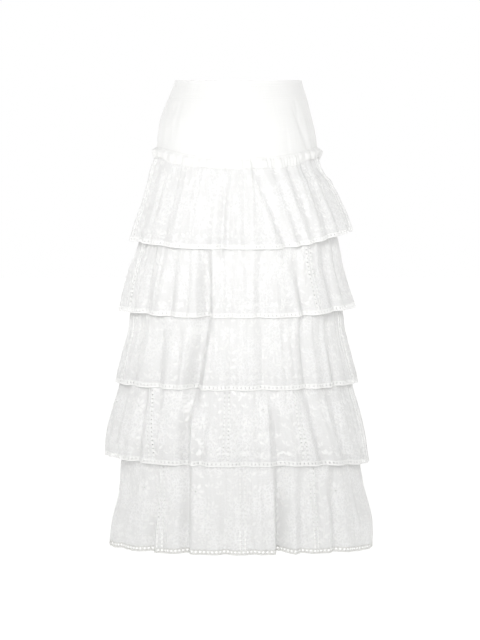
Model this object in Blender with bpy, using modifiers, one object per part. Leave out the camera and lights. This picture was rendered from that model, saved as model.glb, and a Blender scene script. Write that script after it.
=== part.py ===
"""Tiered maxi skirt in white cotton: waistband, hip yoke, narrow gathered frill and five gathered tiers.

The skirt is filled out as it hangs when worn. The origin is the centre of the waist's top edge,
+Z is up, -Y is the front and +X is the viewer's right, which is the wearer's left.
Tables are in millimetres and degrees. An angle runs round the skirt from the centre front,
positive towards the viewer's right, so 90 and -90 are the side seams and 180 is the centre back.
"""

import math
from collections import namedtuple

import bmesh
import bpy
from mathutils import Vector

MM = 0.001

# Cloth walls, seams and the number of columns that each ring is cut into.
TIER_CLOTH = 1.5
BAND_CLOTH = 2.0
TAPE_CLOTH = 1.0
SEAM_GAP = 0.3
COLUMNS = 104
SEAM_ABOVE_HEM = 35.0
TIER_CLEARANCE = 4.0
HEM_LIFT = 0.2

# Columns where the panels end: wearer's right side, wearer's left side and centre back.
RIGHT_SIDE = 0
LEFT_SIDE = COLUMNS // 2
CENTRE_BACK = 3 * COLUMNS // 4

# Frill: the wave is one gather in every four columns of a ring twice as fine as the tiers'.
FRILL_HEIGHT = 19.0
FRILL_PUFF_DROP = 5.0
FRILL_WAVE = 2.2
FRILL_STAND = 3.0
FRILL_HANG = 0.4

# Concealed zip at the centre back: slider, its bridge, and the pull tab under the bridge.
SLIDER_SIZE = (4.6, 8.0, 2.4)
BRIDGE_SIZE = (1.6, 6.0, 3.4)
BRIDGE_WINDOW = (2.4, 2.4)
SLIDER_FROM_TOP = 8.0
PULL_LENGTH = 23.0
PULL_THICKNESS = 1.1
PULL_TOP_WIDTH = 5.0
PULL_END_RADIUS = 3.2
PULL_WINDOW = (2.6, 3.9)
PULL_TILT = math.radians(-5.5)
TAPE_COLUMNS = 2

Line = namedtuple("Line", "left right front back")
Section = namedtuple("Section", "height left right front back")
Fold = namedtuple("Fold", "top_angle hem_angle top_depth hem_depth left_width right_width")
Tier = namedtuple("Tier", "name hem rows sections folds back_depth back_phase")

# Heights of the level seams and edges, at the sides, the front and the back.
WAIST_TOP = Line(0, 0, -4, 0)
BAND_SEAM = Line(-36, -36, -40, -36)
YOKE_HEM = Line(-134, -134, -158, -150)

# Half widths and half depths of the waistband and yoke.
BODY = (
    Section(0, 128, 125, 91, 94),
    Section(-36, 141, 135, 101, 106),
    Section(-54, 149, 140, 106, 113),
    Section(-78, 158, 146, 112, 121),
    Section(-104, 162, 152, 116, 130),
    Section(-134, 164, 156, 119, 136),
    Section(-160, 166, 159, 121, 139),
)
YOKE_ROWS = (0.0, 0.28, 0.6, 1.0)

TIERS = (
    Tier(
        "tier_1",
        Line(-319, -300, -335, -332),
        (0.16, 0.27, 0.4),
        (
            Section(-134, 164, 154, 119, 136),
            Section(-162, 171, 160, 125, 143),
            Section(-182, 178, 168, 131, 149),
            Section(-200, 182, 184, 137, 154),
            Section(-246, 194, 206, 150, 166),
            Section(-282, 207, 221, 160, 175),
            Section(-318, 217, 229, 168, 183),
            Section(-340, 222, 234, 172, 187),
        ),
        (
            Fold(-70, -71, 2, 5, 7, 7),
            Fold(-53, -53, 3, 6, 8, 8),
            Fold(-24, -22.5, 3, 4, 6, 6),
            Fold(-10.5, -12, 4, 7, 5, 6),
            Fold(12.5, 32.5, 4, 9, 5, 6),
            Fold(30.5, 41, 4, 6, 5, 5),
            Fold(43, 50, 4, 6, 5, 5),
            Fold(58, 61, 4, 8, 6, 7),
        ),
        7,
        0.4,
    ),
    Tier(
        "tier_2",
        Line(-458, -452, -468, -466),
        (0.42,),
        (
            Section(-300, 197, 193, 158, 174),
            Section(-318, 199, 197, 161, 177),
            Section(-342, 207, 202, 165, 181),
            Section(-366, 218, 206, 169, 184),
            Section(-414, 232, 220, 176, 191),
            Section(-460, 241, 235, 183, 197),
            Section(-480, 244, 239, 186, 199),
        ),
        (
            Fold(-61.5, -60, 4, 7, 7, 7),
            Fold(-44, -43, 4, 6, 6, 6),
            Fold(-23.5, -21, 9, 15, 6, 6),
            Fold(-7, -5.5, 2, 4, 5, 5),
            Fold(14.5, 12.5, 4, 7, 5, 5),
            Fold(37, 41, 5, 8, 6, 6),
            Fold(60, 61, 5, 8, 6, 7),
        ),
        9,
        1.9,
    ),
    Tier(
        "tier_3",
        Line(-602, -602, -608, -606),
        (0.42,),
        (
            Section(-452, 215, 205, 174, 187),
            Section(-468, 218, 208, 177, 190),
            Section(-498, 221, 212, 180, 193),
            Section(-546, 234, 224, 188, 200),
            Section(-604, 246, 237, 197, 208),
            Section(-620, 248, 239, 199, 210),
        ),
        (
            Fold(-66, -65, 3, 6, 6, 6),
            Fold(-50.5, -48.5, 4, 7, 6, 6),
            Fold(-22.5, -25, 11, 17, 7, 7),
            Fold(-4.5, -5, 2, 4, 5, 5),
            Fold(15, 14, 5, 8, 7, 7),
            Fold(41, 38.5, 4, 6, 6, 6),
            Fold(62.5, 60.5, 4, 7, 7, 7),
        ),
        10,
        3.1,
    ),
    Tier(
        "tier_4",
        Line(-747, -762, -755, -756),
        (0.42,),
        (
            Section(-598, 237, 225, 189, 201),
            Section(-654, 252, 240, 199, 210),
            Section(-702, 264, 251, 207, 217),
            Section(-740, 266, 256, 211, 221),
            Section(-766, 264, 259, 213, 223),
        ),
        (
            Fold(-72, -71, 3, 5, 6, 6),
            Fold(-56, -56.5, 4, 7, 6, 6),
            Fold(-32.5, -31, 5, 9, 5, 5),
            Fold(-19, -21, 4, 8, 5, 5),
            Fold(4, 3.5, 3, 5, 6, 6),
            Fold(17.5, 21, 8, 14, 6, 7),
            Fold(39, 47.5, 5, 8, 6, 6),
            Fold(54, 62.5, 4, 7, 6, 6),
        ),
        11,
        4.6,
    ),
    Tier(
        "tier_5",
        Line(-927, -932, -926, -926),
        (0.34, 0.64),
        (
            Section(-742, 233, 240, 200, 211),
            Section(-762, 236, 242, 202, 213),
            Section(-810, 239, 250, 206, 217),
            Section(-834, 242, 257, 208, 219),
            Section(-870, 252, 266, 212, 222),
            Section(-906, 258, 268, 215, 225),
            Section(-936, 259, 266, 216, 226),
        ),
        (
            Fold(-69, -68, 3, 7, 6, 6),
            Fold(-50.5, -46.5, 5, 11, 6, 5),
            Fold(-28, -26.5, 6, 10, 6, 5),
            Fold(-7.5, -7, 4, 7, 5, 5),
            Fold(7, 7.5, 3, 5, 5, 5),
            Fold(23, 22.5, 20, 28, 4.5, 7),
            Fold(36, 34, 4, 7, 5, 6),
            Fold(55.5, 52.5, 5, 8, 7, 6),
        ),
        12,
        5.7,
    ),
)

# Folds of a tier's back, which are spread by a rule and not by the table.
BACK_FOLDS = 10
BACK_START = 98.0
BACK_SPAN = 164.0
BACK_WIDTH = 7.0


def angle_of(column, columns=COLUMNS):
    """Angle of a column round the ring, in radians from the centre front."""
    return math.radians(-90 + 360 * column / columns)


def height_on(line, angle):
    """Height of a seam or edge line at an angle: it turns up to the sides late, as a flared edge does."""
    side = line.left if math.sin(angle) < 0 else line.right
    middle = line.front if math.cos(angle) > 0 else line.back
    weight = math.sin(angle) ** 4
    return middle + (side - middle) * weight


def section_at(sections, height):
    """The half widths and depths at a height, on a smooth curve through the table's rows."""
    last = len(sections) - 1
    at = next((i for i in range(1, last) if height > sections[i].height), last)
    before, low = sections[max(at - 2, 0)], sections[at - 1]
    high, after = sections[at], sections[min(at + 1, last)]
    part = (height - low.height) / (high.height - low.height)
    part = min(max(part, 0.0), 1.0)

    def curve(a, b, c, d):
        slope_in, slope_out = (c - a) / 2, (d - b) / 2
        return (
            b
            + part * slope_in
            + part**2 * (3 * (c - b) - 2 * slope_in - slope_out)
            + part**3 * (2 * (b - c) + slope_in + slope_out)
        )

    return Section(height, *(curve(*four) for four in list(zip(before, low, high, after))[1:]))


def plain_radius(sections, height, angle):
    """Distance from the axis to the unfolded cloth: a quarter ellipse between each two directions."""
    section = section_at(sections, height)
    across = section.left if math.sin(angle) < 0 else section.right
    deep = section.front if math.cos(angle) > 0 else section.back
    return 1 / math.hypot(math.sin(angle) / across, math.cos(angle) / deep)


def back_folds(tier):
    """Uneven folds for the back of a tier."""
    folds = []
    for i in range(BACK_FOLDS):
        sway = math.sin(2.4 * i + tier.back_phase)
        top = BACK_START + BACK_SPAN * (i + 0.5 + 0.22 * sway) / BACK_FOLDS
        hem = top + 2.5 * math.sin(1.3 * i + 2 * tier.back_phase)
        deep = tier.back_depth * (0.8 + 0.45 * math.sin(1.9 * i + tier.back_phase))
        folds.append(Fold(top, hem, 0.5 * deep, deep, BACK_WIDTH - sway, BACK_WIDTH + sway))
    return folds


def fold_depth(folds, angle, hang):
    """How far the cloth dips at an angle. hang runs from 0, where the tier shows, to 1, at its hem."""
    degrees = math.degrees(angle) % 360
    total = 0.0
    for fold in folds:
        centre = fold.top_angle + (fold.hem_angle - fold.top_angle) * hang
        away = (degrees - centre + 180) % 360 - 180
        width = fold.right_width if away > 0 else fold.left_width
        if abs(away) < width:
            depth = fold.top_depth + (fold.hem_depth - fold.top_depth) * hang
            total += depth * (1 + math.cos(math.pi * away / width)) / 2
    return total


def place(angle, radius, height):
    """A point of a ring."""
    return Vector((radius * math.sin(angle), -radius * math.cos(angle), height))


def outward(ring):
    """Level directions out of a closed ring, as long as a wall that follows the ring's corners needs."""
    directions = []
    for i, point in enumerate(ring):
        after = ring[(i + 1) % len(ring)]
        sides = []
        for start, end in ((ring[i - 1], point), (point, after)):
            run = (end - start).to_2d().normalized()
            sides.append(Vector((run.y, -run.x)))
        middle = (sides[0] + sides[1]).normalized()
        directions.append((middle / middle.dot(sides[0])).to_3d())
    return directions


def moved_out(ring, distance):
    """A ring moved level and square to itself."""
    return [point + way * distance for point, way in zip(ring, outward(ring))]


def body_ring(line, drop=0.0):
    """A ring of the waistband and yoke along a line."""
    ring = []
    for column in range(COLUMNS):
        angle = angle_of(column)
        height = height_on(line, angle) - drop
        ring.append(place(angle, plain_radius(BODY, height, angle), height))
    return ring


def between(top, low, part):
    """A line part of the way from one line to a lower one."""
    return Line(*(a + (b - a) * part for a, b in zip(top, low)))


def tier_ring(tier, heights, tops, hems):
    """A ring of a tier at these heights, with its folds."""
    folds = list(tier.folds) + back_folds(tier)
    ring = []
    for column, height in enumerate(heights):
        angle = angle_of(column)
        hang = (tops[column] - height) / (tops[column] - hems[column])
        dip = fold_depth(folds, angle, min(max(hang, 0.0), 1.0))
        ring.append(place(angle, plain_radius(tier.sections, height, angle) - dip, height))
    return ring


def hem_heights(tier):
    """Heights of a hem, a little higher where a fold takes the cloth inwards."""
    folds = list(tier.folds) + back_folds(tier)
    heights = []
    for column in range(COLUMNS):
        angle = angle_of(column)
        heights.append(height_on(tier.hem, angle) + HEM_LIFT * fold_depth(folds, angle, 1.0))
    return heights


def part_way(tops, hems, part):
    """Heights this part of the way down from each top to its hem."""
    return [top + (hem - top) * part for top, hem in zip(tops, hems)]


def first_tier_rows(tier, top_ring):
    """Rows of the tier that is sewn to the yoke: its gathers start plain under the frill."""
    tops = [point.z for point in top_ring]
    hems = hem_heights(tier)
    rows = [top_ring]
    seams = [hem + SEAM_ABOVE_HEM for hem in hems]
    for heights in (*(part_way(tops, hems, part) for part in tier.rows), seams, hems):
        rows.append(tier_ring(tier, heights, tops, hems))
    return rows


def next_tier_rows(tier, above):
    """Rows of a tier whose gathered top edge is sewn inside the tier above, over that tier's hem."""
    seam = moved_out(above[-2], -(TIER_CLOTH + SEAM_GAP) / math.cos(math.radians(16)))
    tops = [point.z for point in above[-1]]
    hems = hem_heights(tier)
    under_hem = tier_ring(tier, tops, tops, hems)
    for column, point in enumerate(above[-1]):
        most = point.to_2d().length - TIER_CLEARANCE
        own = under_hem[column].to_2d().length
        under_hem[column] = place(angle_of(column), min(own, most), point.z)
    seams = [hem + SEAM_ABOVE_HEM for hem in hems]
    rows = [seam, under_hem]
    for heights in (*(part_way(tops, hems, part) for part in tier.rows), seams, hems):
        rows.append(tier_ring(tier, heights, tops, hems))
    return rows


def frill_rows(yoke_hem, tier):
    """Rows of the frill: sewn on just above the yoke's lower edge, it puffs out and then hangs."""
    profile = ((2.0, 0.0, 0.0), (-FRILL_PUFF_DROP, 1.0, 0.9), (-FRILL_HEIGHT, FRILL_HANG, 0.5))
    rows = []
    for rise, stand, wave in profile:
        carrier = []
        for column, point in enumerate(yoke_hem):
            angle = angle_of(column)
            height = point.z + rise
            sections = BODY if rise > 0 else tier.sections
            carrier.append(place(angle, plain_radius(sections, height, angle), height))
        base = moved_out(carrier, TIER_CLOTH + SEAM_GAP + 0.2 + FRILL_STAND * stand)
        fine = []
        for column, point in enumerate(base):
            fine += [point, (point + base[(column + 1) % COLUMNS]) / 2]
        ring = []
        for column, (point, way) in enumerate(zip(fine, outward(fine))):
            gather = column // 4
            swing = (0, 1, 0, -1)[column % 4]
            size = FRILL_WAVE * (1 + 0.4 * math.sin(2.1 * gather) * math.cos(0.37 * gather))
            ring.append(point + way * size * wave * (1 + swing))
        rows.append(ring)
    return rows


def panel(rows, first, last):
    """Columns of a ring from first to last, with half a seam's gap taken off each end."""
    cut = []
    for ring in rows:
        count = len(ring)
        points = [ring[column % count].copy() for column in range(first, last + 1)]
        points[0] += (points[1] - points[0]).normalized() * SEAM_GAP / 2
        points[-1] += (points[-2] - points[-1]).normalized() * SEAM_GAP / 2
        cut.append(points)
    return cut


def material_for(name, colour, roughness, metallic=0.0):
    """A plain finish of the piece's own."""
    material = bpy.data.materials.new(name + "_finish")
    material.use_nodes = True
    shader = material.node_tree.nodes["Principled BSDF"]
    shader.inputs["Base Color"].default_value = (*colour, 1.0)
    shader.inputs["Roughness"].default_value = roughness
    shader.inputs["Metallic"].default_value = metallic
    return material


def add_cloth(name, rows, thickness, colour):
    """A panel of cloth: a surface through its rows, given a wall on its inner side."""
    mesh = bpy.data.meshes.new(name)
    surface = bmesh.new()
    grid = [[surface.verts.new(point * MM) for point in row] for row in rows]
    for upper, lower in zip(grid, grid[1:]):
        for i in range(len(upper) - 1):
            surface.faces.new((upper[i], lower[i], lower[i + 1]))
            surface.faces.new((upper[i], lower[i + 1], upper[i + 1]))
    surface.to_mesh(mesh)
    surface.free()
    mesh.shade_smooth()
    cloth = bpy.data.objects.new(name, mesh)
    wall = cloth.modifiers.new("wall", "SOLIDIFY")
    wall.thickness = thickness * MM
    wall.offset = -1
    wall.use_even_offset = True
    cloth.data.materials.append(material_for(name, colour, 0.85))
    SKIRT.objects.link(cloth)
    return cloth


def add_block(name, collection, size, centre):
    """A box of this size in the zip's own frame."""
    bpy.ops.mesh.primitive_cube_add(size=1)
    block = bpy.context.object
    block.name = name
    for old in list(block.users_collection):
        old.objects.unlink(block)
    collection.objects.link(block)
    for vertex in block.data.vertices:
        vertex.co = Vector(a * b + c for a, b, c in zip(vertex.co, size, centre)) * MM
    return block


def boolean(target, operation, other):
    """Joins another block to this one or cuts it out of it."""
    modifier = target.modifiers.new(operation.lower(), "BOOLEAN")
    modifier.operation = operation
    modifier.object = other
    other.hide_render = True
    other.display_type = "WIRE"


def add_slider(frame):
    """The slider: a body over the closed edges, with a bridge that the pull's crossbar passes under."""
    width, _, height = SLIDER_SIZE
    top = SEAM_GAP + height
    middle = SLIDER_FROM_TOP
    slider = add_block("zip_slider", SKIRT, SLIDER_SIZE, (0, middle, SEAM_GAP + height / 2))
    edge = slider.modifiers.new("rounded", "BEVEL")
    edge.width = 0.35 * MM
    edge.segments = 2
    bridge = add_block("bridge_shape", CUTTERS, BRIDGE_SIZE, (0, middle, top + BRIDGE_SIZE[2] / 2 - 0.2))
    window = (width, *BRIDGE_WINDOW)
    hole = add_block("bridge_hole", CUTTERS, window, (0, middle, top + BRIDGE_WINDOW[1] / 2))
    boolean(bridge, "DIFFERENCE", hole)
    boolean(slider, "UNION", bridge)
    slider.data.materials.append(material_for("zip_slider", (0.86, 0.86, 0.84), 0.35))
    for block in (slider, bridge, hole):
        block.parent = frame


def add_pull(frame):
    """The pull tab: a flat drop with a window near its top edge, whose origin is on its hinge."""
    half = PULL_THICKNESS / 2
    end = PULL_LENGTH - PULL_END_RADIUS
    outline = [(-PULL_TOP_WIDTH / 2, -half), (PULL_TOP_WIDTH / 2, -half)]
    for step in range(13):
        turn = math.pi * step / 12
        outline.append((PULL_END_RADIUS * math.cos(turn), end + PULL_END_RADIUS * math.sin(turn)))
    wide, far = PULL_WINDOW
    window = [(-wide / 2, half), (-wide / 2, far), (wide / 2, far), (wide / 2, half)]
    drop = bpy.data.curves.new("zip_pull", "CURVE")
    drop.dimensions = "2D"
    drop.fill_mode = "BOTH"
    drop.extrude = half * MM
    for points in (outline, window):
        spline = drop.splines.new("POLY")
        spline.points.add(len(points) - 1)
        for knot, (across, along) in zip(spline.points, points):
            knot.co = (across * MM, along * MM, 0, 1)
        spline.use_cyclic_u = True
    pull = bpy.data.objects.new("zip_pull", drop)
    pull.data.materials.append(material_for("zip_pull", (0.86, 0.86, 0.84), 0.35))
    SKIRT.objects.link(pull)
    pull.parent = frame
    hinge_rise = SEAM_GAP + SLIDER_SIZE[2] + BRIDGE_WINDOW[1] / 2
    pull.location = (0, SLIDER_FROM_TOP * MM, hinge_rise * MM)
    pull.rotation_euler = (PULL_TILT, 0, 0)


def add_zip(top_ring, seam_ring):
    """Slider and pull, in a frame that lies on the back of the waistband and runs down it."""
    top, low = top_ring[CENTRE_BACK], seam_ring[CENTRE_BACK]
    lean = math.atan2(low.y - top.y, top.z - low.z)
    frame = bpy.data.objects.new("zip_frame", None)
    SKIRT.objects.link(frame)
    frame.location = top * MM
    frame.rotation_euler = (lean - math.pi / 2, 0, 0)
    add_slider(frame)
    add_pull(frame)


def add_three_panels(name, rows, thickness, colour):
    """Front, and the two halves of the back that the zip joins."""
    add_cloth(name + "_front", panel(rows, RIGHT_SIDE, LEFT_SIDE), thickness, colour)
    add_cloth(name + "_back_left", panel(rows, LEFT_SIDE, CENTRE_BACK), thickness, colour)
    add_cloth(name + "_back_right", panel(rows, CENTRE_BACK, COLUMNS), thickness, colour)


def add_two_panels(name, rows, colour, columns=COLUMNS):
    """Front and back, joined at the side seams."""
    add_cloth(name + "_front", panel(rows, 0, columns // 2), TIER_CLOTH, colour)
    add_cloth(name + "_back", panel(rows, columns // 2, columns), TIER_CLOTH, colour)


def build():
    """Makes every piece from the waist down."""
    top_ring, seam_ring = body_ring(WAIST_TOP), body_ring(BAND_SEAM)
    add_three_panels("waistband", [top_ring, seam_ring], BAND_CLOTH, (0.93, 0.93, 0.91))

    lines = [between(BAND_SEAM, YOKE_HEM, part) for part in YOKE_ROWS]
    yoke = [body_ring(line, SEAM_GAP) for line in lines]
    add_three_panels("yoke", yoke, BAND_CLOTH, (0.92, 0.92, 0.90))

    inside = -(BAND_CLOTH + SEAM_GAP) / math.cos(math.radians(20))
    tape = [moved_out(ring, inside) for ring in (body_ring(WAIST_TOP, 4), *yoke[:-1], body_ring(YOKE_HEM, -4))]
    back = CENTRE_BACK
    add_cloth("zip_tape_left", panel(tape, back - TAPE_COLUMNS, back), TAPE_CLOTH, (0.9, 0.9, 0.88))
    add_cloth("zip_tape_right", panel(tape, back, back + TAPE_COLUMNS), TAPE_CLOTH, (0.9, 0.9, 0.88))
    add_zip(top_ring, seam_ring)

    frill = frill_rows(yoke[-1], TIERS[0])
    add_two_panels("frill", frill, (0.93, 0.93, 0.91), 2 * COLUMNS)

    rows = first_tier_rows(TIERS[0], [point - Vector((0, 0, SEAM_GAP)) for point in yoke[-1]])
    add_two_panels(TIERS[0].name, rows, (0.90, 0.90, 0.88))
    for tier in TIERS[1:]:
        rows = next_tier_rows(tier, rows)
        add_two_panels(tier.name, rows, (0.86, 0.86, 0.84))


for old_object in list(bpy.data.objects):
    bpy.data.objects.remove(old_object, do_unlink=True)
SKIRT = bpy.data.collections.new("tiered_maxi_skirt")
CUTTERS = bpy.data.collections.new("cutters")
for group in (SKIRT, CUTTERS):
    bpy.context.scene.collection.children.link(group)
build()
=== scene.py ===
"""Looks of the tiered maxi skirt: white cotton waistband and hip yoke, a narrow gathered frill and five
gathered tiers of sheer embroidered voile with openwork hems, closed by a zip at the centre back.

The origin is the centre of the waist's top edge, +Z is up, -Y is the front and +X is the wearer's left.
Tables are in millimetres and degrees. An angle runs round the skirt from the centre front, positive
towards the wearer's left, so 90 and -90 are the side seams and 180 is the centre back.
Raised work is drawn flat, in cloth coordinates: along the hem, up from the hem and out of the cloth.
"""

import logging
import math
from dataclasses import dataclass, field
from enum import Enum

import bmesh
import bpy
import numpy as np
from mathutils import Euler, Matrix, Vector


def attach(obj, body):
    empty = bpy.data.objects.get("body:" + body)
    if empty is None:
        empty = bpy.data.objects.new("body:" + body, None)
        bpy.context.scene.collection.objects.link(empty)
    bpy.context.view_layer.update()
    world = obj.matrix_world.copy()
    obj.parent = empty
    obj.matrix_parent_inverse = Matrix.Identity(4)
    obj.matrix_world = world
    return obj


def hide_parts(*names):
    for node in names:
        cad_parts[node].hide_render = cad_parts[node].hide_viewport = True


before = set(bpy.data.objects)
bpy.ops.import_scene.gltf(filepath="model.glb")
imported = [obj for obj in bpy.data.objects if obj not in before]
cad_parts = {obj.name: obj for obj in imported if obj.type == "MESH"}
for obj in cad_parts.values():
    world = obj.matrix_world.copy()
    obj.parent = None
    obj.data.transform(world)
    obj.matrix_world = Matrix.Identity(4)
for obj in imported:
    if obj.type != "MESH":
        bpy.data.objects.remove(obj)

LOG = logging.getLogger("tiered_maxi_skirt")
MM = 0.001
CLOTH_UV = "cloth"

# The frame's own sizes: walls, seams and the panels' overlap.
SEAM_GAP = 0.3
TIER_WALL = 1.5
SEAM_ABOVE_HEM = 35.0
TIER_CLEARANCE = 2.6
HEM_LIFT = 0.2
CLING = 0.75
SEAM_INSET = (TIER_WALL + SEAM_GAP) / math.cos(math.radians(16))

# Cells of the fine cloth: a ladder's rung and gap are one row each, and it has two columns of gaps.
CELL_ALONG = 3.1
CELL_UP = 4.15
LADDER_GAP = 1.9
LADDER_SPREAD = 9.6
HEM_ROWS = 2
# Tiers numbered below this one get lighter copies of the voile and thread, with less contrast between them: painted
# light for the brighter light on the upper tiers. Their eyelets are not cut.
LOWER_TIERS_FROM = 4
BAR_WIDTHS = {1: 7.2, 2: 7.2, 3: 6.8, 4: 6.2}


class Body(Enum):
    """Bodies of the frame that a piece can ride on."""

    SKIRT = "skirt"
    PULL = "zip_pull"


class Slot(Enum):
    """Material slots of the record."""

    PLAIN = "plain_cotton"
    FRILL = "frill_cotton"
    TIERS = "embroidered_cotton"
    TAPE = "zip_tape"
    METAL = "zip_metal"


class Held(Enum):
    """Ways in which a sheet of cloth is held."""

    HUNG = "hung"
    GATHERED = "gathered"


class Side(Enum):
    """Panels round the skirt: label, first angle and last angle."""

    FRONT = ("front", -90.0, 90.0)
    BACK = ("back", 90.0, 270.0)
    BACK_LEFT = ("back_left", 90.0, 180.0)
    BACK_RIGHT = ("back_right", 180.0, 270.0)

    @property
    def label(self) -> str:
        """The ending of the panel's name."""
        return self.value[0]

    def angles(self, radius: float, step: float) -> np.ndarray:
        """Angles of a panel's columns.

        Args:
            radius: Mean distance from the axis, in millimetres.
            step: Distance between two columns, in millimetres.

        Returns:
            Degrees from the first edge to the last, each edge half a seam's gap in.
        """
        _, first, last = self.value
        inset = math.degrees(SEAM_GAP / 2 / radius)
        count = round(math.radians(last - first) * radius / step)
        return np.linspace(first + inset, last - inset, count + 1)


@dataclass(frozen=True)
class Line:
    """Height of a level seam or edge at the two sides, the front and the back."""

    left: float
    right: float
    front: float
    back: float

    def at(self, angles: np.ndarray) -> np.ndarray:
        """Heights at these angles in radians: the line turns up to the sides late."""
        side = np.where(np.sin(angles) < 0, self.left, self.right)
        middle = np.where(np.cos(angles) > 0, self.front, self.back)
        return middle + (side - middle) * np.sin(angles) ** 4

    def towards(self, other: "Line", part: float) -> "Line":
        """A line part of the way to another."""
        ends = zip((self.left, self.right, self.front, self.back), (other.left, other.right, other.front, other.back))
        return Line(*(a + (b - a) * part for a, b in ends))


@dataclass(frozen=True)
class Section:
    """Half widths and half depths of the skirt at a height."""

    height: float
    left: float
    right: float
    front: float
    back: float


@dataclass(frozen=True)
class Fold:
    """A main fold, which runs the whole height of its tier."""

    top_angle: float
    hem_angle: float
    top_depth: float
    hem_depth: float
    left_width: float
    right_width: float


@dataclass(frozen=True)
class Crease:
    """A soft trough, or a ridge if its depth is below 0.

    Its angles are those at the tier's top and hem; start and end are shares of the way down.
    """

    top_angle: float
    low_angle: float
    start: float
    end: float
    depth: float
    width: float


@dataclass(frozen=True)
class Ladder:
    """A vertical openwork insertion, which follows the cloth from its top to its hem."""

    top_angle: float
    hem_angle: float


@dataclass(frozen=True)
class TierCut:
    """Everything that tells one tier from the next."""

    name: str
    hem: Line
    sections: tuple[Section, ...]
    folds: tuple[Fold, ...]
    back_depth: float
    back_phase: float
    creases: tuple[Crease, ...]
    ladders: tuple[Ladder, ...]
    flutes: int
    gathers: int
    settles: float = 0.42


# Waistband and yoke.
WAIST_TOP = Line(0, 0, -4, 0)
BAND_SEAM = Line(-36, -36, -40, -36)
YOKE_HEM = Line(-134, -134, -158, -150)
BODY = (
    Section(0, 128, 125, 91, 94),
    Section(-36, 141, 135, 101, 106),
    Section(-54, 149, 140, 106, 113),
    Section(-78, 158, 146, 112, 121),
    Section(-104, 162, 152, 116, 130),
    Section(-134, 164, 156, 119, 136),
    Section(-160, 166, 159, 121, 139),
)
YOKE_CREASES = (
    Crease(56, 65, 0.05, 0.95, 2.2, 4.5),
    Crease(66, 70, 0.1, 1.2, -1.2, 3.5),
    Crease(75, 75.5, 0.0, 0.9, 1.8, 3.5),
    Crease(44, 47, 0.5, 1.3, 1.0, 4.0),
    Crease(-60, -61, -0.1, 0.85, 1.4, 2.6),
    Crease(-70, -72, 0.1, 1.2, -1.0, 3.0),
    Crease(-77, -79, -0.2, 0.7, 1.8, 3.0),
    Crease(-84, -83, 0.3, 1.2, 1.4, 2.6),
    Crease(-66, -63, 0.1, 0.34, 2.0, 1.9),
    Crease(-69, -68, 0.3, 0.56, 1.9, 1.7),
    Crease(-64, -66, 0.5, 0.8, 1.8, 1.8),
    Crease(61, 63, 0.0, 0.4, 1.9, 2.2),
    Crease(70, 72, 0.3, 0.7, 1.8, 2.0),
    Crease(62, 66, 0.6, 1.0, 1.8, 2.2),
    Crease(18, 20, 0.6, 1.4, 0.8, 5.0),
    Crease(-25, -27, 0.55, 1.4, 0.8, 5.0),
    Crease(112, 109, -0.1, 0.8, 1.7, 4.0),
    Crease(128, 127, 0.35, 1.3, 1.2, 5.0),
    Crease(152, 156, 0.5, 1.4, 1.1, 5.0),
    Crease(173, 172, 0.1, 1.1, 1.3, 2.6),
    Crease(187, 188.5, 0.0, 1.0, 1.5, 2.6),
    Crease(209, 205, 0.45, 1.3, 1.0, 5.0),
    Crease(236, 238, 0.3, 1.3, 1.4, 4.5),
    Crease(253, 255, -0.2, 0.75, 1.8, 4.0),
)

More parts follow.
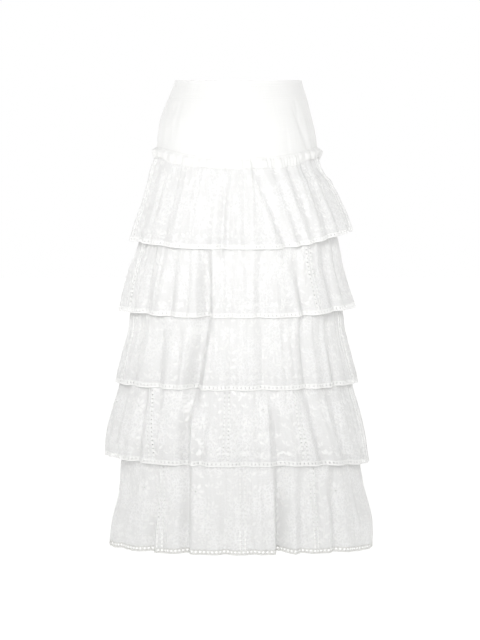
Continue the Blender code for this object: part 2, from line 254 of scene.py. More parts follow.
TIERS = (
    TierCut(
        "tier_1",
        Line(-319, -300, -335, -332),
        (
            Section(-134, 164, 154, 119, 136),
            Section(-162, 171, 160, 125, 143),
            Section(-182, 178, 168, 131, 149),
            Section(-200, 182, 184, 137, 154),
            Section(-246, 194, 206, 150, 166),
            Section(-282, 207, 221, 160, 175),
            Section(-318, 217, 229, 168, 183),
            Section(-340, 222, 234, 172, 187),
        ),
        (
            Fold(-70, -71, 2, 4, 7, 7),
            Fold(-53, -53, 3, 5, 8, 8),
            Fold(-24, -22.5, 3, 4, 6, 6),
            Fold(-10.5, -12, 4, 7, 5, 6),
            Fold(12.5, 32.5, 3.5, 7, 6, 6),
            Fold(30.5, 41, 3, 4.5, 5, 5),
            Fold(43, 50, 3, 4.5, 5, 5),
            Fold(58, 61, 3, 6, 6, 7),
        ),
        7,
        0.4,
        (
            Crease(-64, -61, 0.1, 1.2, 1.9, 3.2),
            Crease(-38, -37, 0.0, 0.7, 1.3, 3.0),
            Crease(-28.4, -28.4, 0.5, 1.3, 1.5, 3.0),
            Crease(-4, -4.5, 0.35, 1.3, 1.2, 3.5),
            Crease(1.7, 1.4, 0.0, 0.6, 1.5, 2.2),
            Crease(11, 16.6, 0.1, 0.75, 1.8, 3.0),
            Crease(23.5, 26, 0.2, 1.2, 1.9, 3.0),
            Crease(36, 46, 0.1, 1.2, -1.2, 2.5),
            Crease(63, 69.4, 0.2, 1.3, 2.1, 3.4),
            Crease(76, 80, 0.3, 1.3, 2.2, 4.0),
            Crease(13.5, 32.5, 0.2, 1.4, 1.6, 3.6),
            Crease(-10.5, -12, 0.1, 1.3, 1.6, 3.6),
            Crease(45, 51, 0.2, 1.3, 1.7, 3.6),
        ),
        (Ladder(-79, -79), Ladder(80, 82), Ladder(121, 121), Ladder(162, 162), Ladder(203, 203), Ladder(244, 244)),
        31,
        86,
        0.16,
    ),
    TierCut(
        "tier_2",
        Line(-458, -452, -468, -466),
        (
            Section(-300, 197, 193, 158, 174),
            Section(-318, 199, 197, 161, 177),
            Section(-342, 207, 202, 165, 181),
            Section(-366, 218, 206, 169, 184),
            Section(-414, 232, 220, 176, 191),
            Section(-460, 241, 235, 183, 197),
            Section(-480, 244, 239, 186, 199),
        ),
        (
            Fold(-61.5, -60, 4, 7, 7, 7),
            Fold(-44, -43, 4, 6, 6, 6),
            Fold(-23.5, -21, 9, 15, 6, 6),
            Fold(-7, -5.5, 2, 4, 5, 5),
            Fold(14.5, 12.5, 4, 7, 5, 5),
            Fold(37, 41, 5, 8, 6, 6),
            Fold(60, 61, 5, 8, 6, 7),
        ),
        9,
        1.9,
        (
            Crease(-73, -74, 0.2, 1.3, 2.6, 3.5),
            Crease(-67.2, -68.2, -0.2, 0.7, -1.6, 3.0),
            Crease(-52, -51, -0.3, 0.8, 1.8, 2.6),
            Crease(-33.1, -31.9, -0.2, 1.3, 2.4, 3.0),
            Crease(-15.2, -14.5, -0.2, 1.3, -1.8, 3.0),
            Crease(4.8, 5.5, -0.3, 0.7, 1.8, 2.6),
            Crease(26, 26, 0.1, 1.3, 2.6, 3.2),
            Crease(51, 50.8, -0.2, 1.3, 2.2, 3.0),
            Crease(71.8, 70.5, -0.1, 1.3, 3.0, 3.6),
            Crease(-23.5, -21.3, -0.6, 1.6, 10.0, 8.0),
            Crease(14, 13.5, -0.6, 1.6, 3.2, 5.5),
            Crease(38, 41, -0.4, 1.4, 3.0, 4.5),
            Crease(-60, -59, -0.2, 1.4, 2.6, 4.5),
        ),
        (Ladder(-72, -71), Ladder(47, 50), Ladder(97, 97), Ladder(140, 140), Ladder(182, 182), Ladder(224, 224)),
        33,
        92,
    ),
    TierCut(
        "tier_3",
        Line(-602, -602, -608, -606),
        (
            Section(-452, 215, 205, 174, 187),
            Section(-468, 218, 208, 177, 190),
            Section(-498, 221, 212, 180, 193),
            Section(-546, 234, 224, 188, 200),
            Section(-604, 246, 237, 197, 208),
            Section(-620, 248, 239, 199, 210),
        ),
        (
            Fold(-66, -65, 3, 6, 6, 6),
            Fold(-50.5, -48.5, 4, 7, 6, 6),
            Fold(-23.5, -27, 9, 14, 7, 7),
            Fold(-4.5, -5, 2, 4, 5, 5),
            Fold(15, 14, 5, 8, 7, 7),
            Fold(41, 38.5, 4, 6, 6, 6),
            Fold(62.5, 60.5, 4, 7, 7, 7),
        ),
        10,
        3.1,
        (
            Crease(-76, -78, 0.1, 1.3, 2.8, 3.5),
            Crease(-58, -57, -0.2, 0.9, -1.8, 3.0),
            Crease(-37.1, -35.8, -0.2, 1.3, 2.4, 3.2),
            Crease(-13.8, -14.2, -0.2, 1.3, -2.0, 3.5),
            Crease(5, 5.1, -0.2, 0.8, 2.0, 2.6),
            Crease(27.8, 27.3, 0.0, 1.3, 2.6, 3.2),
            Crease(53, 52.2, -0.3, 1.3, 2.2, 3.0),
            Crease(73, 75, 0.1, 1.3, 2.8, 3.5),
            Crease(-23.8, -27.2, -0.8, 1.8, 16.0, 10.5),
            Crease(15.5, 15.0, -0.5, 1.4, 3.6, 5.5),
            Crease(41, 39, -0.4, 1.4, 3.6, 4.5),
            Crease(-50, -48, -0.3, 1.4, 3.6, 4.5),
        ),
        (Ladder(-76, -77), Ladder(74, 75), Ladder(115, 115), Ladder(156, 156), Ladder(197, 197), Ladder(238, 238)),
        34,
        97,
    ),
    TierCut(
        "tier_4",
        Line(-747, -762, -755, -756),
        (
            Section(-598, 237, 225, 189, 201),
            Section(-654, 252, 240, 199, 210),
            Section(-702, 264, 251, 207, 217),
            Section(-740, 266, 256, 211, 221),
            Section(-766, 264, 259, 213, 223),
        ),
        (
            Fold(-72, -71, 3, 5, 6, 6),
            Fold(-56, -56.5, 4, 7, 6, 6),
            Fold(-32, -29.5, 5, 9, 5, 5),
            Fold(-19, -21, 4, 8, 5, 5),
            Fold(4, 3.5, 3, 5, 6, 6),
            Fold(18.5, 23, 6, 9, 6, 7),
            Fold(39, 47.5, 5, 8, 6, 6),
            Fold(54, 62.5, 4, 7, 6, 6),
        ),
        11,
        4.6,
        (
            Crease(-80, -81, 0.0, 1.3, 2.4, 3.0),
            Crease(-67.9, -67.5, 0.1, 1.3, -2.0, 3.0),
            Crease(-46.4, -44.5, -0.2, 1.3, 2.4, 3.0),
            Crease(-25, -26, 0.3, 1.3, -1.8, 2.6),
            Crease(-11, -10, -0.3, 0.8, 2.2, 2.8),
            Crease(-3.5, -3.7, 0.2, 1.3, -1.6, 3.2),
            Crease(9.9, 10.5, -0.3, 0.9, 2.2, 2.8),
            Crease(29.8, 32.1, -0.1, 1.3, 2.6, 3.2),
            Crease(49.9, 56, 0.0, 1.3, -1.8, 3.0),
            Crease(70, 74, -0.1, 1.3, 2.8, 3.6),
            Crease(-31, -28.6, -0.5, 1.6, 11.0, 5.6),
            Crease(19.4, 23.7, -0.5, 1.6, 3.4, 5.5),
            Crease(-56, -56, -0.3, 1.4, 2.8, 4.5),
            Crease(41, 48, -0.3, 1.4, 3.2, 4.5),
        ),
        (Ladder(-53, -46), Ladder(-7, -7), Ladder(33, 36), Ladder(78, 80), Ladder(122, 122), Ladder(163, 163), Ladder(205, 205), Ladder(246, 246)),
        36,
        104,
    ),
    TierCut(
        "tier_5",
        Line(-927, -932, -926, -926),
        (
            Section(-742, 233, 240, 200, 211),
            Section(-762, 236, 242, 202, 213),
            Section(-810, 239, 250, 206, 217),
            Section(-834, 242, 257, 208, 219),
            Section(-870, 252, 266, 212, 222),
            Section(-906, 258, 268, 215, 225),
            Section(-936, 259, 266, 216, 226),
        ),
        (
            Fold(-69, -68, 3, 7, 6, 6),
            Fold(-48.5, -48, 5, 10, 6, 5),
            Fold(-29.5, -28.3, 6, 9, 6, 5),
            Fold(-7.5, -7, 4, 7, 5, 5),
            Fold(7, 7.5, 3, 5, 5, 5),
            Fold(23, 22.5, 20, 28, 4.5, 7),
            Fold(36, 34, 4, 7, 5, 6),
            Fold(55.5, 52.5, 5, 8, 7, 6),
        ),
        12,
        5.7,
        (
            Crease(-79, -80, -0.1, 1.3, 2.6, 3.5),
            Crease(-60, -58, 0.2, 1.3, -2.2, 3.5),
            Crease(-38.7, -37.2, 0.3, 1.3, -2.4, 3.2),
            Crease(-17.6, -17, -0.2, 0.9, 2.4, 3.0),
            Crease(-1.5, -1, 0.3, 1.3, -1.6, 2.6),
            Crease(14.2, 13.6, -0.2, 0.9, 2.0, 2.4),
            Crease(29.8, 29.4, 0.2, 1.3, -1.8, 2.4),
            Crease(44.3, 45, -0.2, 0.9, 2.4, 3.0),
            Crease(63, 62, 0.3, 1.3, -2.2, 3.5),
            Crease(68.2, 70, -0.1, 1.3, 3.0, 3.4),
            Crease(79, 81, 0.2, 1.3, 2.4, 3.4),
            Crease(-46.3, -48.1, -0.3, 1.6, 5.0, 4.5),
            Crease(-29.8, -28.8, -0.3, 1.5, 7.0, 4.5),
            Crease(36, 34.5, -0.2, 1.4, 4.0, 4.0),
            Crease(56, 53, -0.2, 1.4, 4.0, 4.5),
        ),
        (Ladder(-43, -42), Ladder(2, 2), Ladder(39.6, 40.5), Ladder(98, 98), Ladder(139, 139), Ladder(180, 180), Ladder(221, 221), Ladder(262, 262)),
        38,
        110,
    ),
)

# Folds and creases of a tier's back, which are spread by a rule.
BACK_FOLDS = 10
BACK_CREASES = 12
BACK_START = 98.0
BACK_SPAN = 164.0
BACK_WIDTH = 7.0
PLEAT_DEPTH = 4.5


def curve_through(rows: np.ndarray, at: np.ndarray) -> np.ndarray:
    """Reads a smooth curve through the rows of a table.

    Args:
        rows: Table whose first column falls from row to row.
        at: Values of the first column to read at.

    Returns:
        The other columns there, on a last axis of their own.
    """
    last = len(rows) - 1
    high = np.clip(np.searchsorted(-rows[:, 0], -at, side="right"), 1, last)
    part = np.clip((at - rows[high - 1, 0]) / (rows[high, 0] - rows[high - 1, 0]), 0, 1)[..., None]
    a, b, c, d = (rows[np.clip(high + i, 0, last), 1:] for i in (-2, -1, 0, 1))
    slope_in, slope_out = (c - a) / 2, (d - b) / 2
    bend = 3 * (c - b) - 2 * slope_in - slope_out
    return b + part * slope_in + part**2 * bend + part**3 * (2 * (b - c) + slope_in + slope_out)


def outline_radius(sections: tuple[Section, ...], heights: np.ndarray, angles: np.ndarray) -> np.ndarray:
    """Distance from the axis to the unfolded cloth: a quarter ellipse between each two directions."""
    rows = np.array([(s.height, s.left, s.right, s.front, s.back) for s in sections], float)
    left, right, front, back = np.moveaxis(curve_through(rows, heights), -1, 0)
    across = np.where(np.sin(angles) < 0, left, right)
    deep = np.where(np.cos(angles) > 0, front, back)
    return 1 / np.hypot(np.sin(angles) / across, np.cos(angles) / deep)


def apart(angles: np.ndarray, centre: np.ndarray | float) -> np.ndarray:
    """Signed degrees from a centre, whichever way round is shorter."""
    return (np.degrees(angles) - centre + 180) % 360 - 180


def fold_depth(folds: list[Fold], angles: np.ndarray, hang: np.ndarray | float) -> np.ndarray:
    """How far the main folds take the cloth in. hang runs from 0 at the top to 1 at the hem."""
    total = np.zeros(np.shape(angles))
    for fold in folds:
        away = apart(angles, fold.top_angle + (fold.hem_angle - fold.top_angle) * hang)
        width = np.where(away > 0, fold.right_width, fold.left_width)
        depth = fold.top_depth + (fold.hem_depth - fold.top_depth) * hang
        total += depth * (1 + np.cos(np.pi * np.clip(away / width, -1, 1))) / 2
    return total


def crease_depth(creases: tuple[Crease, ...], angles: np.ndarray, hang: np.ndarray | float) -> np.ndarray:
    """How far the soft creases take the cloth in; each swells and fades along its own length.

    A deep one is a pleat with a flat bottom and steep sides.
    """
    total = np.zeros(np.shape(angles))
    for crease in creases:
        along = np.clip((hang - crease.start) / (crease.end - crease.start), 0, 1)
        away = apart(angles, crease.top_angle + (crease.low_angle - crease.top_angle) * hang)
        swell = np.sin(np.pi * along) ** 0.8
        flat = 4 if crease.depth > PLEAT_DEPTH else 2
        total += crease.depth * swell * np.exp(-(np.abs(2 * away / crease.width) ** flat))
    return total


def in_space(angles: np.ndarray, radius: np.ndarray, heights: np.ndarray) -> np.ndarray:
    """Points from angles in radians, distances from the axis and heights."""
    return np.stack([radius * np.sin(angles), -radius * np.cos(angles), heights], axis=-1)


class ClothForm:
    """The outer face of a piece of cloth, as rows of points from its top edge down to its hem."""

    def __init__(self, points: np.ndarray) -> None:
        """Measures the cloth.

        Args:
            points: Array of rows, columns and coordinates in millimetres.
        """
        self.points = points
        round_, down = np.gradient(points, axis=1), np.gradient(points, axis=0)
        normals = np.cross(down, round_)
        self.normals = normals / np.linalg.norm(normals, axis=-1, keepdims=True)
        hem = np.linalg.norm(np.diff(points[-1], axis=0), axis=1)
        self.along = np.concatenate([[0.0], np.cumsum(hem)])
        drops = np.linalg.norm(np.diff(points, axis=0), axis=2).mean(axis=1)
        self.up = np.concatenate([np.cumsum(drops[::-1])[::-1], [0.0]])

    @property
    def width(self) -> float:
        """Length of the hem, in millimetres."""
        return float(self.along[-1])

    @property
    def length(self) -> float:
        """Length from the top edge to the hem, in millimetres."""
        return float(self.up[0])

    def at(self, places: np.ndarray) -> np.ndarray:
        """Lays flat work on the cloth.

        Args:
            places: Rows of along, up and out, in millimetres.

        Returns:
            The same points in space, in millimetres.
        """
        column = np.interp(places[:, 0], self.along, np.arange(len(self.along)))
        row = np.interp(-places[:, 1], -self.up, np.arange(len(self.up)))
        i = np.clip(row.astype(int), 0, len(self.up) - 2)
        j = np.clip(column.astype(int), 0, len(self.along) - 2)
        y, x = (row - i)[:, None], (column - j)[:, None]

        def read(grid: np.ndarray) -> np.ndarray:
            """Blends the four corners round each place."""
            upper = grid[i, j] * (1 - x) + grid[i, j + 1] * x
            lower = grid[i + 1, j] * (1 - x) + grid[i + 1, j + 1] * x
            return upper * (1 - y) + lower * y

        return read(self.points) + read(self.normals) * places[:, 2:3]

    def cell(self, along: float, up: float) -> tuple[int, int, float, float]:
        """The cell of the grid that holds a place: its row, its column and its centre."""
        j = int(np.clip(np.searchsorted(self.along, along) - 1, 0, len(self.along) - 2))
        i = int(np.clip(np.searchsorted(-self.up, -up) - 1, 0, len(self.up) - 2))
        centre = (self.along[j] + self.along[j + 1]) / 2, (self.up[i] + self.up[i + 1]) / 2
        return i, j, float(centre[0]), float(centre[1])


def deselect() -> None:
    """Nothing is selected afterwards, CAD nodes included."""
    bpy.ops.object.select_all(action="DESELECT")


def make_active(piece: bpy.types.Object) -> None:
    """Selects one piece alone."""
    deselect()
    piece.select_set(True)
    bpy.context.view_layer.objects.active = piece


def apply_modifiers(piece: bpy.types.Object) -> None:
    """Applies every modifier of a piece, in order."""
    make_active(piece)
    for modifier in list(piece.modifiers):
        bpy.ops.object.modifier_apply(modifier=modifier.name)


def mesh_piece(name: str, points: np.ndarray, faces: list[np.ndarray], uv: np.ndarray) -> bpy.types.Object:
    """Makes an object from points in millimetres.

    Args:
        name: The piece's name.
        points: One row a point.
        faces: Arrays of corner indices, each array with one number of corners.
        uv: Cloth coordinates of each point, in millimetres.

    Returns:
        The object, at the origin, with its UV map in metres.
    """
    faces = [group for group in faces if len(group)]
    corners = np.concatenate([group.ravel() for group in faces])
    sizes = np.concatenate([np.full(len(group), group.shape[1]) for group in faces])
    mesh = bpy.data.meshes.new(name)
    mesh.vertices.add(len(points))
    mesh.vertices.foreach_set("co", (points * MM).astype(np.float32).ravel())
    mesh.loops.add(len(corners))
    mesh.loops.foreach_set("vertex_index", corners.astype(np.int32))
    mesh.polygons.add(len(sizes))
    mesh.polygons.foreach_set("loop_start", np.concatenate([[0], np.cumsum(sizes)[:-1]]).astype(np.int32))
    mesh.update(calc_edges=True)
    layer = mesh.uv_layers.new(name=CLOTH_UV)
    layer.data.foreach_set("uv", (uv[corners] * MM).astype(np.float32).ravel())
    mesh.shade_smooth()
    mesh.validate()
    piece = bpy.data.objects.new(name, mesh)
    bpy.context.scene.collection.objects.link(piece)
    return piece


def soften(piece: bpy.types.Object, degrees: float) -> None:
    """Shades a piece smooth, apart from edges sharper than this."""
    make_active(piece)
    bpy.ops.object.shade_smooth_by_angle(angle=math.radians(degrees))


def cloth_shell(name: str, form: ClothForm, wall: float, holes: set[tuple[int, int]], rows: int) -> bpy.types.Object:
    """Makes a thin shell on a cloth form, with its wall on the inner side.

    Args:
        name: The piece's name.
        form: The cloth's outer face.
        wall: Thickness, in millimetres.
        holes: Rows and columns of the cells that are cut through.
        rows: How many of the form's rows the shell has.

    Returns:
        The finished shell.
    """
    columns = form.points.shape[1]
    index = np.arange(rows * columns).reshape(rows, columns)
    quads = np.stack([index[:-1, :-1], index[1:, :-1], index[1:, 1:], index[:-1, 1:]], axis=-1)
    kept = np.ones(quads.shape[:2], bool)
    for hole in holes:
        kept[hole] = False
    along, up = np.meshgrid(form.along, form.up[:rows])
    uv = np.stack([along, up], axis=-1).reshape(-1, 2)
    shell = mesh_piece(name, form.points[:rows].reshape(-1, 3), [quads[kept]], uv)
    layer = shell.modifiers.new("wall", "SOLIDIFY")
    layer.thickness = wall * MM
    layer.offset = -1
    apply_modifiers(shell)
    soften(shell, 50)
    return shell


# Unit shapes of raised work. Corners run anticlockwise seen from outside.
LEAF_POINTS = np.array(
    [(-0.5, 0, 0), (-0.2, -0.5, 0), (0.22, -0.44, 0), (0.5, 0, 0), (0.22, 0.44, 0), (-0.2, 0.5, 0), (-0.2, 0, 1), (0.2, 0, 1)]
)
LEAF_QUADS = np.array([(1, 2, 7, 6), (4, 5, 6, 7), (0, 5, 4, 1), (4, 3, 2, 1)])
LEAF_TRIANGLES = np.array([(0, 1, 6), (2, 3, 7), (3, 4, 7), (5, 0, 6)])
BAR_POINTS = np.array(
    [(-0.5, -0.5, 0), (0.5, -0.5, 0), (0.5, 0.5, 0), (-0.5, 0.5, 0), (-0.5, -0.28, 1), (0.5, -0.28, 1), (0.5, 0.28, 1), (-0.5, 0.28, 1)]
)
BAR_QUADS = np.array([(0, 1, 5, 4), (1, 2, 6, 5), (2, 3, 7, 6), (3, 0, 4, 7), (4, 5, 6, 7), (3, 2, 1, 0)])
RING_SIDES = 8
SUNK = 0.12


class RaisedWork:
    """Thread, cord and trim drawn flat in cloth coordinates, then laid on the cloth as one mesh."""

    def __init__(self) -> None:
        """Starts with nothing drawn."""
        self.points: list[np.ndarray] = []
        self.uv: list[np.ndarray] = []
        self.quads: list[np.ndarray] = []
        self.triangles: list[np.ndarray] = []
        self.count = 0

    def add(self, points: np.ndarray, uv: np.ndarray, quads: np.ndarray, triangles: np.ndarray | None = None) -> None:
        """Takes in closed shapes.

        Args:
            points: Rows of along, up and out.
            uv: Two coordinates of each point's own thread, in millimetres.
            quads: Corner indices of the four-sided faces.
            triangles: Corner indices of the three-sided faces.
        """
        self.points.append(points)
        self.uv.append(uv)
        self.quads.append(quads + self.count)
        if triangles is not None:
            self.triangles.append(triangles + self.count)
        self.count += len(points)

    def stamp(self, unit: np.ndarray, quads: np.ndarray, triangles: np.ndarray | None, places: np.ndarray) -> None:
        """Copies a unit shape to many places.

        Args:
            unit: The shape's points, one unit long, wide and high.
            quads: Its four-sided faces.
            triangles: Its three-sided faces.
            places: Rows of along, up, turn in radians, length, width and height.
        """
        if not len(places):
            return
        along, up, turn, length, width, height = (places[:, i, None] for i in range(6))
        x, y = unit[:, 0] * length, unit[:, 1] * width
        cos, sin = np.cos(turn), np.sin(turn)
        out = unit[:, 2] * (height + SUNK) - SUNK
        points = np.stack([along + x * cos - y * sin, up + x * sin + y * cos, out], axis=-1)
        steps = (np.arange(len(places)) * len(unit))[:, None, None]
        faces = [(steps + group).reshape(-1, group.shape[1]) for group in (quads, triangles) if group is not None]
        self.add(points.reshape(-1, 3), np.stack([x, y], axis=-1).reshape(-1, 2), *faces)

    def leaves(self, places: np.ndarray) -> None:
        """Satin-stitched leaves, petals and stitches: along, up, turn, length, width, height."""
        self.stamp(LEAF_POINTS, LEAF_QUADS, LEAF_TRIANGLES, places)

    def bars(self, places: np.ndarray) -> None:
        """Bound bars with a flat top: along, up, turn, length, width, height."""
        self.stamp(BAR_POINTS, BAR_QUADS, None, places)

    def rings(self, centres: np.ndarray, inner: float, outer: float, height: float) -> None:
        """Bound rims round eyelets.

        Args:
            centres: Rows of along and up.
            inner: Radius of the opening.
            outer: Radius of the rim.
            height: How far the rim stands out.
        """
        if not len(centres):
            return
        turn = 2 * math.pi * np.arange(RING_SIDES) / RING_SIDES
        profile = ((inner, -SUNK), ((inner + outer) / 2, height), (outer, -SUNK))
        unit = np.array([(r * math.cos(a), r * math.sin(a), h) for a in turn for r, h in profile])
        now = np.arange(RING_SIDES) * 3
        after = np.roll(now, -1)
        quads = np.concatenate([np.stack([now + a, now + b, after + b, after + a], axis=-1) for a, b in ((0, 1), (1, 2), (2, 0))])
        points = (unit[None] + np.pad(centres, ((0, 0), (0, 1)))[:, None]).reshape(-1, 3)
        steps = (np.arange(len(centres)) * len(unit))[:, None, None]
        self.add(points, np.tile(unit[:, :2], (len(centres), 1)), (steps + quads).reshape(-1, 4))

    def sweep(self, path: np.ndarray, section: np.ndarray) -> None:
        """Draws a cord or band.

        Args:
            path: Rows of along and up.
            section: Rows of sideways and out, anticlockwise seen from the path's end.
        """
        run = np.gradient(path, axis=0)
        run /= np.linalg.norm(run, axis=1, keepdims=True)
        beside = np.stack([-run[:, 1], run[:, 0]], axis=-1)
        flat = path[:, None] + beside[:, None] * section[None, :, :1]
        points = np.concatenate([flat, np.broadcast_to(section[None, :, 1:], (*flat.shape[:2], 1))], axis=-1)
        steps, sides = len(path), len(section)
        index = np.arange(steps * sides).reshape(steps, sides)
        turned = np.roll(index, -1, axis=1)
        quads = np.stack([index[:-1], turned[:-1], turned[1:], index[1:]], axis=-1).reshape(-1, 4)
        fan = np.array([(0, j, j + 1) for j in range(1, sides - 1)])
        caps = np.concatenate([fan[:, ::-1], fan + index[-1, 0]])
        lengths = np.concatenate([[0.0], np.cumsum(np.linalg.norm(np.diff(path, axis=0), axis=1))])
        uv = np.stack(np.broadcast_arrays(lengths[:, None], section[None, :, 0]), axis=-1).reshape(-1, 2)
        self.add(points.reshape(-1, 3), uv, quads, caps)

    def thread(self, path: np.ndarray, width: float, height: float) -> None:
        """Draws a three-sided raised thread."""
        self.sweep(path, np.array([(-width / 2, -SUNK), (width / 2, -SUNK), (0.0, height)]))

    def band(self, path: np.ndarray, low: float, high: float, height: float) -> None:
        """Draws a flat band with rounded edges on both faces of the cloth, from low to high beside the path."""
        edge = min(0.8, (high - low) / 3)
        section = [(low, -0.7), (high, -0.7), (high + 0.1, -0.1), (high - edge, height), (low + edge, height), (low - 0.1, -0.1)]
        self.sweep(path, np.array(section))

    def piece(self, name: str, form: ClothForm) -> bpy.types.Object:
        """Lays everything drawn on the cloth, as one object."""
        points = form.at(np.concatenate(self.points))
        faces = [np.concatenate(self.quads)]
        if self.triangles:
            faces.append(np.concatenate(self.triangles))
        piece = mesh_piece(name, points, faces, np.concatenate(self.uv))
        soften(piece, 60)
        return piece


# Materials.


def linear(code: str) -> tuple[float, float, float, float]:
    """An sRGB hex colour as linear values with full alpha."""
    parts = [int(code[i : i + 2], 16) / 255 for i in (1, 3, 5)]
    red, green, blue = (c / 12.92 if c <= 0.04045 else ((c + 0.055) / 1.055) ** 2.4 for c in parts)
    return red, green, blue, 1.0


def add_node(tree: bpy.types.NodeTree, kind: str, inputs: dict | None = None, **settings: object) -> bpy.types.Node:
    """Adds a node.

    Args:
        tree: The material's or world's tree.
        kind: The node's type name.
        inputs: Values or output sockets for its inputs, by name or number.
        **settings: Properties of the node itself.

    Returns:
        The new node.
    """
    made = tree.nodes.new(kind)
    for name, value in settings.items():
        setattr(made, name, value)
    for name, value in (inputs or {}).items():
        if isinstance(value, bpy.types.NodeSocket):
            tree.links.new(value, made.inputs[name])
        else:
            made.inputs[name].default_value = value
    return made


def new_material(name: str) -> tuple[bpy.types.Material, bpy.types.NodeTree]:
    """An empty node material and its tree."""
    material = bpy.data.materials.new(name)
    material.use_nodes = True
    material.node_tree.nodes.clear()
    return material, material.node_tree


def wave_scale(period: float) -> float:
    """Scale of a Wave texture whose bands are this many millimetres apart, on coordinates in metres."""
    return 2 * math.pi / 20 / (period * MM)


@dataclass(frozen=True)
class WovenCotton:
    """Plain-woven cotton: matt, with fine crossing threads, slubs along both ways and soft crumples.

    Threads are about 0.35 mm apart in the real cloth, too fine to show, so they are drawn three times as coarse.
    """

    name: str
    thread: str
    shade: str
    translucency: float
    crease_height_mm: float
    thread_mm: float = 1.1
    slub_mm: float = 1.6
    slub_run_mm: float = 38.0
    crease_mm: float = 11.0
    crease_run_mm: float = 60.0
    roughness: float = 0.88
    filling: str = ""
    filling_mm: float = 7.5
    cluster_mm: float = 55.0

    def build(self) -> bpy.types.Material:
        """Makes the material, which reads the cloth's own UV map."""
        material, tree = new_material(self.name)
        uv = add_node(tree, "ShaderNodeUVMap", uv_map=CLOTH_UV).outputs["UV"]
        waves = []
        for direction in ("X", "Y"):
            wave = {"Vector": uv, "Scale": wave_scale(self.thread_mm), "Distortion": 0.6, "Detail": 1.0, "Detail Scale": 2.0}
            waves.append(add_node(tree, "ShaderNodeTexWave", wave, bands_direction=direction).outputs["Fac"])
        weave = add_node(tree, "ShaderNodeMath", {0: waves[0], 1: waves[1]}, operation="ADD").outputs[0]
        run, fine = 1 / (self.slub_run_mm * MM), 1 / (self.slub_mm * MM)
        slubs = []
        for scale in ((run, fine, 1.0), (fine, run, 1.0)):
            mapped = add_node(tree, "ShaderNodeMapping", {"Vector": uv, "Scale": scale}).outputs[0]
            slubs.append(add_node(tree, "ShaderNodeTexNoise", {"Vector": mapped, "Scale": 1.0, "Detail": 2.0}).outputs["Fac"])
        slub = add_node(tree, "ShaderNodeMath", {0: slubs[0], 1: slubs[1]}, operation="ADD").outputs[0]
        tone = add_node(tree, "ShaderNodeMath", {0: slub, 1: 1.0, 2: -0.5}, operation="MULTIPLY_ADD", use_clamp=True).outputs[0]
        colour = add_node(
            tree, "ShaderNodeMix", {0: tone, 6: linear(self.shade), 7: linear(self.thread)}, data_type="RGBA"
        ).outputs[2]
        stitched = self.add_filling(tree, uv)
        if stitched:
            colour = add_node(tree, "ShaderNodeMix", {0: stitched, 6: colour, 7: linear(self.filling)}, data_type="RGBA").outputs[2]
        across, run = 1 / (self.crease_mm * MM), 1 / (self.crease_run_mm * MM)
        mapped = add_node(tree, "ShaderNodeMapping", {"Vector": uv, "Scale": (across, run, 1.0)}).outputs[0]
        soft = add_node(tree, "ShaderNodeTexNoise", {"Vector": mapped, "Scale": 1.0, "Detail": 3.0}).outputs["Fac"]
        lift = {"Height": soft, "Strength": 1.0, "Distance": self.crease_height_mm * MM}
        creased = add_node(tree, "ShaderNodeBump", lift).outputs[0]
        woven = {"Height": weave, "Strength": 0.3, "Distance": 0.0001, "Normal": creased}
        bump = add_node(tree, "ShaderNodeBump", woven).outputs[0]
        if stitched:
            lift = {"Height": stitched, "Strength": 0.6, "Distance": 0.0003, "Normal": bump}
            bump = add_node(tree, "ShaderNodeBump", lift).outputs[0]
        surface = add_node(
            tree,
            "ShaderNodeBsdfPrincipled",
            {"Base Color": colour, "Roughness": self.roughness, "Sheen Weight": 0.15, "Sheen Roughness": 0.5, "Normal": bump},
        ).outputs[0]
        through = add_node(tree, "ShaderNodeBsdfTranslucent", {"Color": colour, "Normal": bump}).outputs[0]
        mixed = add_node(tree, "ShaderNodeMixShader", {0: self.translucency, 1: surface, 2: through}).outputs[0]
        add_node(tree, "ShaderNodeOutputMaterial", {"Surface": mixed})
        return material

    def add_filling(self, tree: bpy.types.NodeTree, uv: bpy.types.NodeSocket) -> bpy.types.NodeSocket | None:
        """Wandering filling stitches of fine thread, in clusters between the raised motifs.

        Args:
            tree: The material's tree.
            uv: Cloth coordinates in metres.

        Returns:
            How much of the thread shows, from 0 to 1, or None for a plain cloth.
        """
        if not self.filling:
            return None
        flat = {"Vector": uv, "Scale": 0.9 / (self.filling_mm * MM), "Detail": 2.0}
        drift = add_node(tree, "ShaderNodeTexNoise", flat, noise_dimensions="2D").outputs[1]
        sway = (1.5 * self.filling_mm * MM,) * 3
        bent = add_node(tree, "ShaderNodeVectorMath", {0: drift, 1: sway, 2: uv}, operation="MULTIPLY_ADD").outputs[0]
        cells = {"Vector": bent, "Scale": 1 / (self.filling_mm * MM)}
        settings = {"feature": "DISTANCE_TO_EDGE", "voronoi_dimensions": "2D"}
        edge = add_node(tree, "ShaderNodeTexVoronoi", cells, **settings).outputs["Distance"]
        line = {"Value": edge, "From Min": 0.06, "From Max": 0.2, "To Min": 1.0, "To Max": 0.0}
        thread = add_node(tree, "ShaderNodeMapRange", line).outputs[0]
        wide = {"Vector": uv, "Scale": 1 / (self.cluster_mm * MM), "Detail": 2.0}
        patch = add_node(tree, "ShaderNodeTexNoise", wide, noise_dimensions="2D").outputs[0]
        shown = {"Value": patch, "From Min": 0.4, "From Max": 0.58, "To Min": 0.1, "To Max": 0.9}
        cluster = add_node(tree, "ShaderNodeMapRange", shown).outputs[0]
        return add_node(tree, "ShaderNodeMath", {0: thread, 1: cluster}, operation="MULTIPLY").outputs[0]


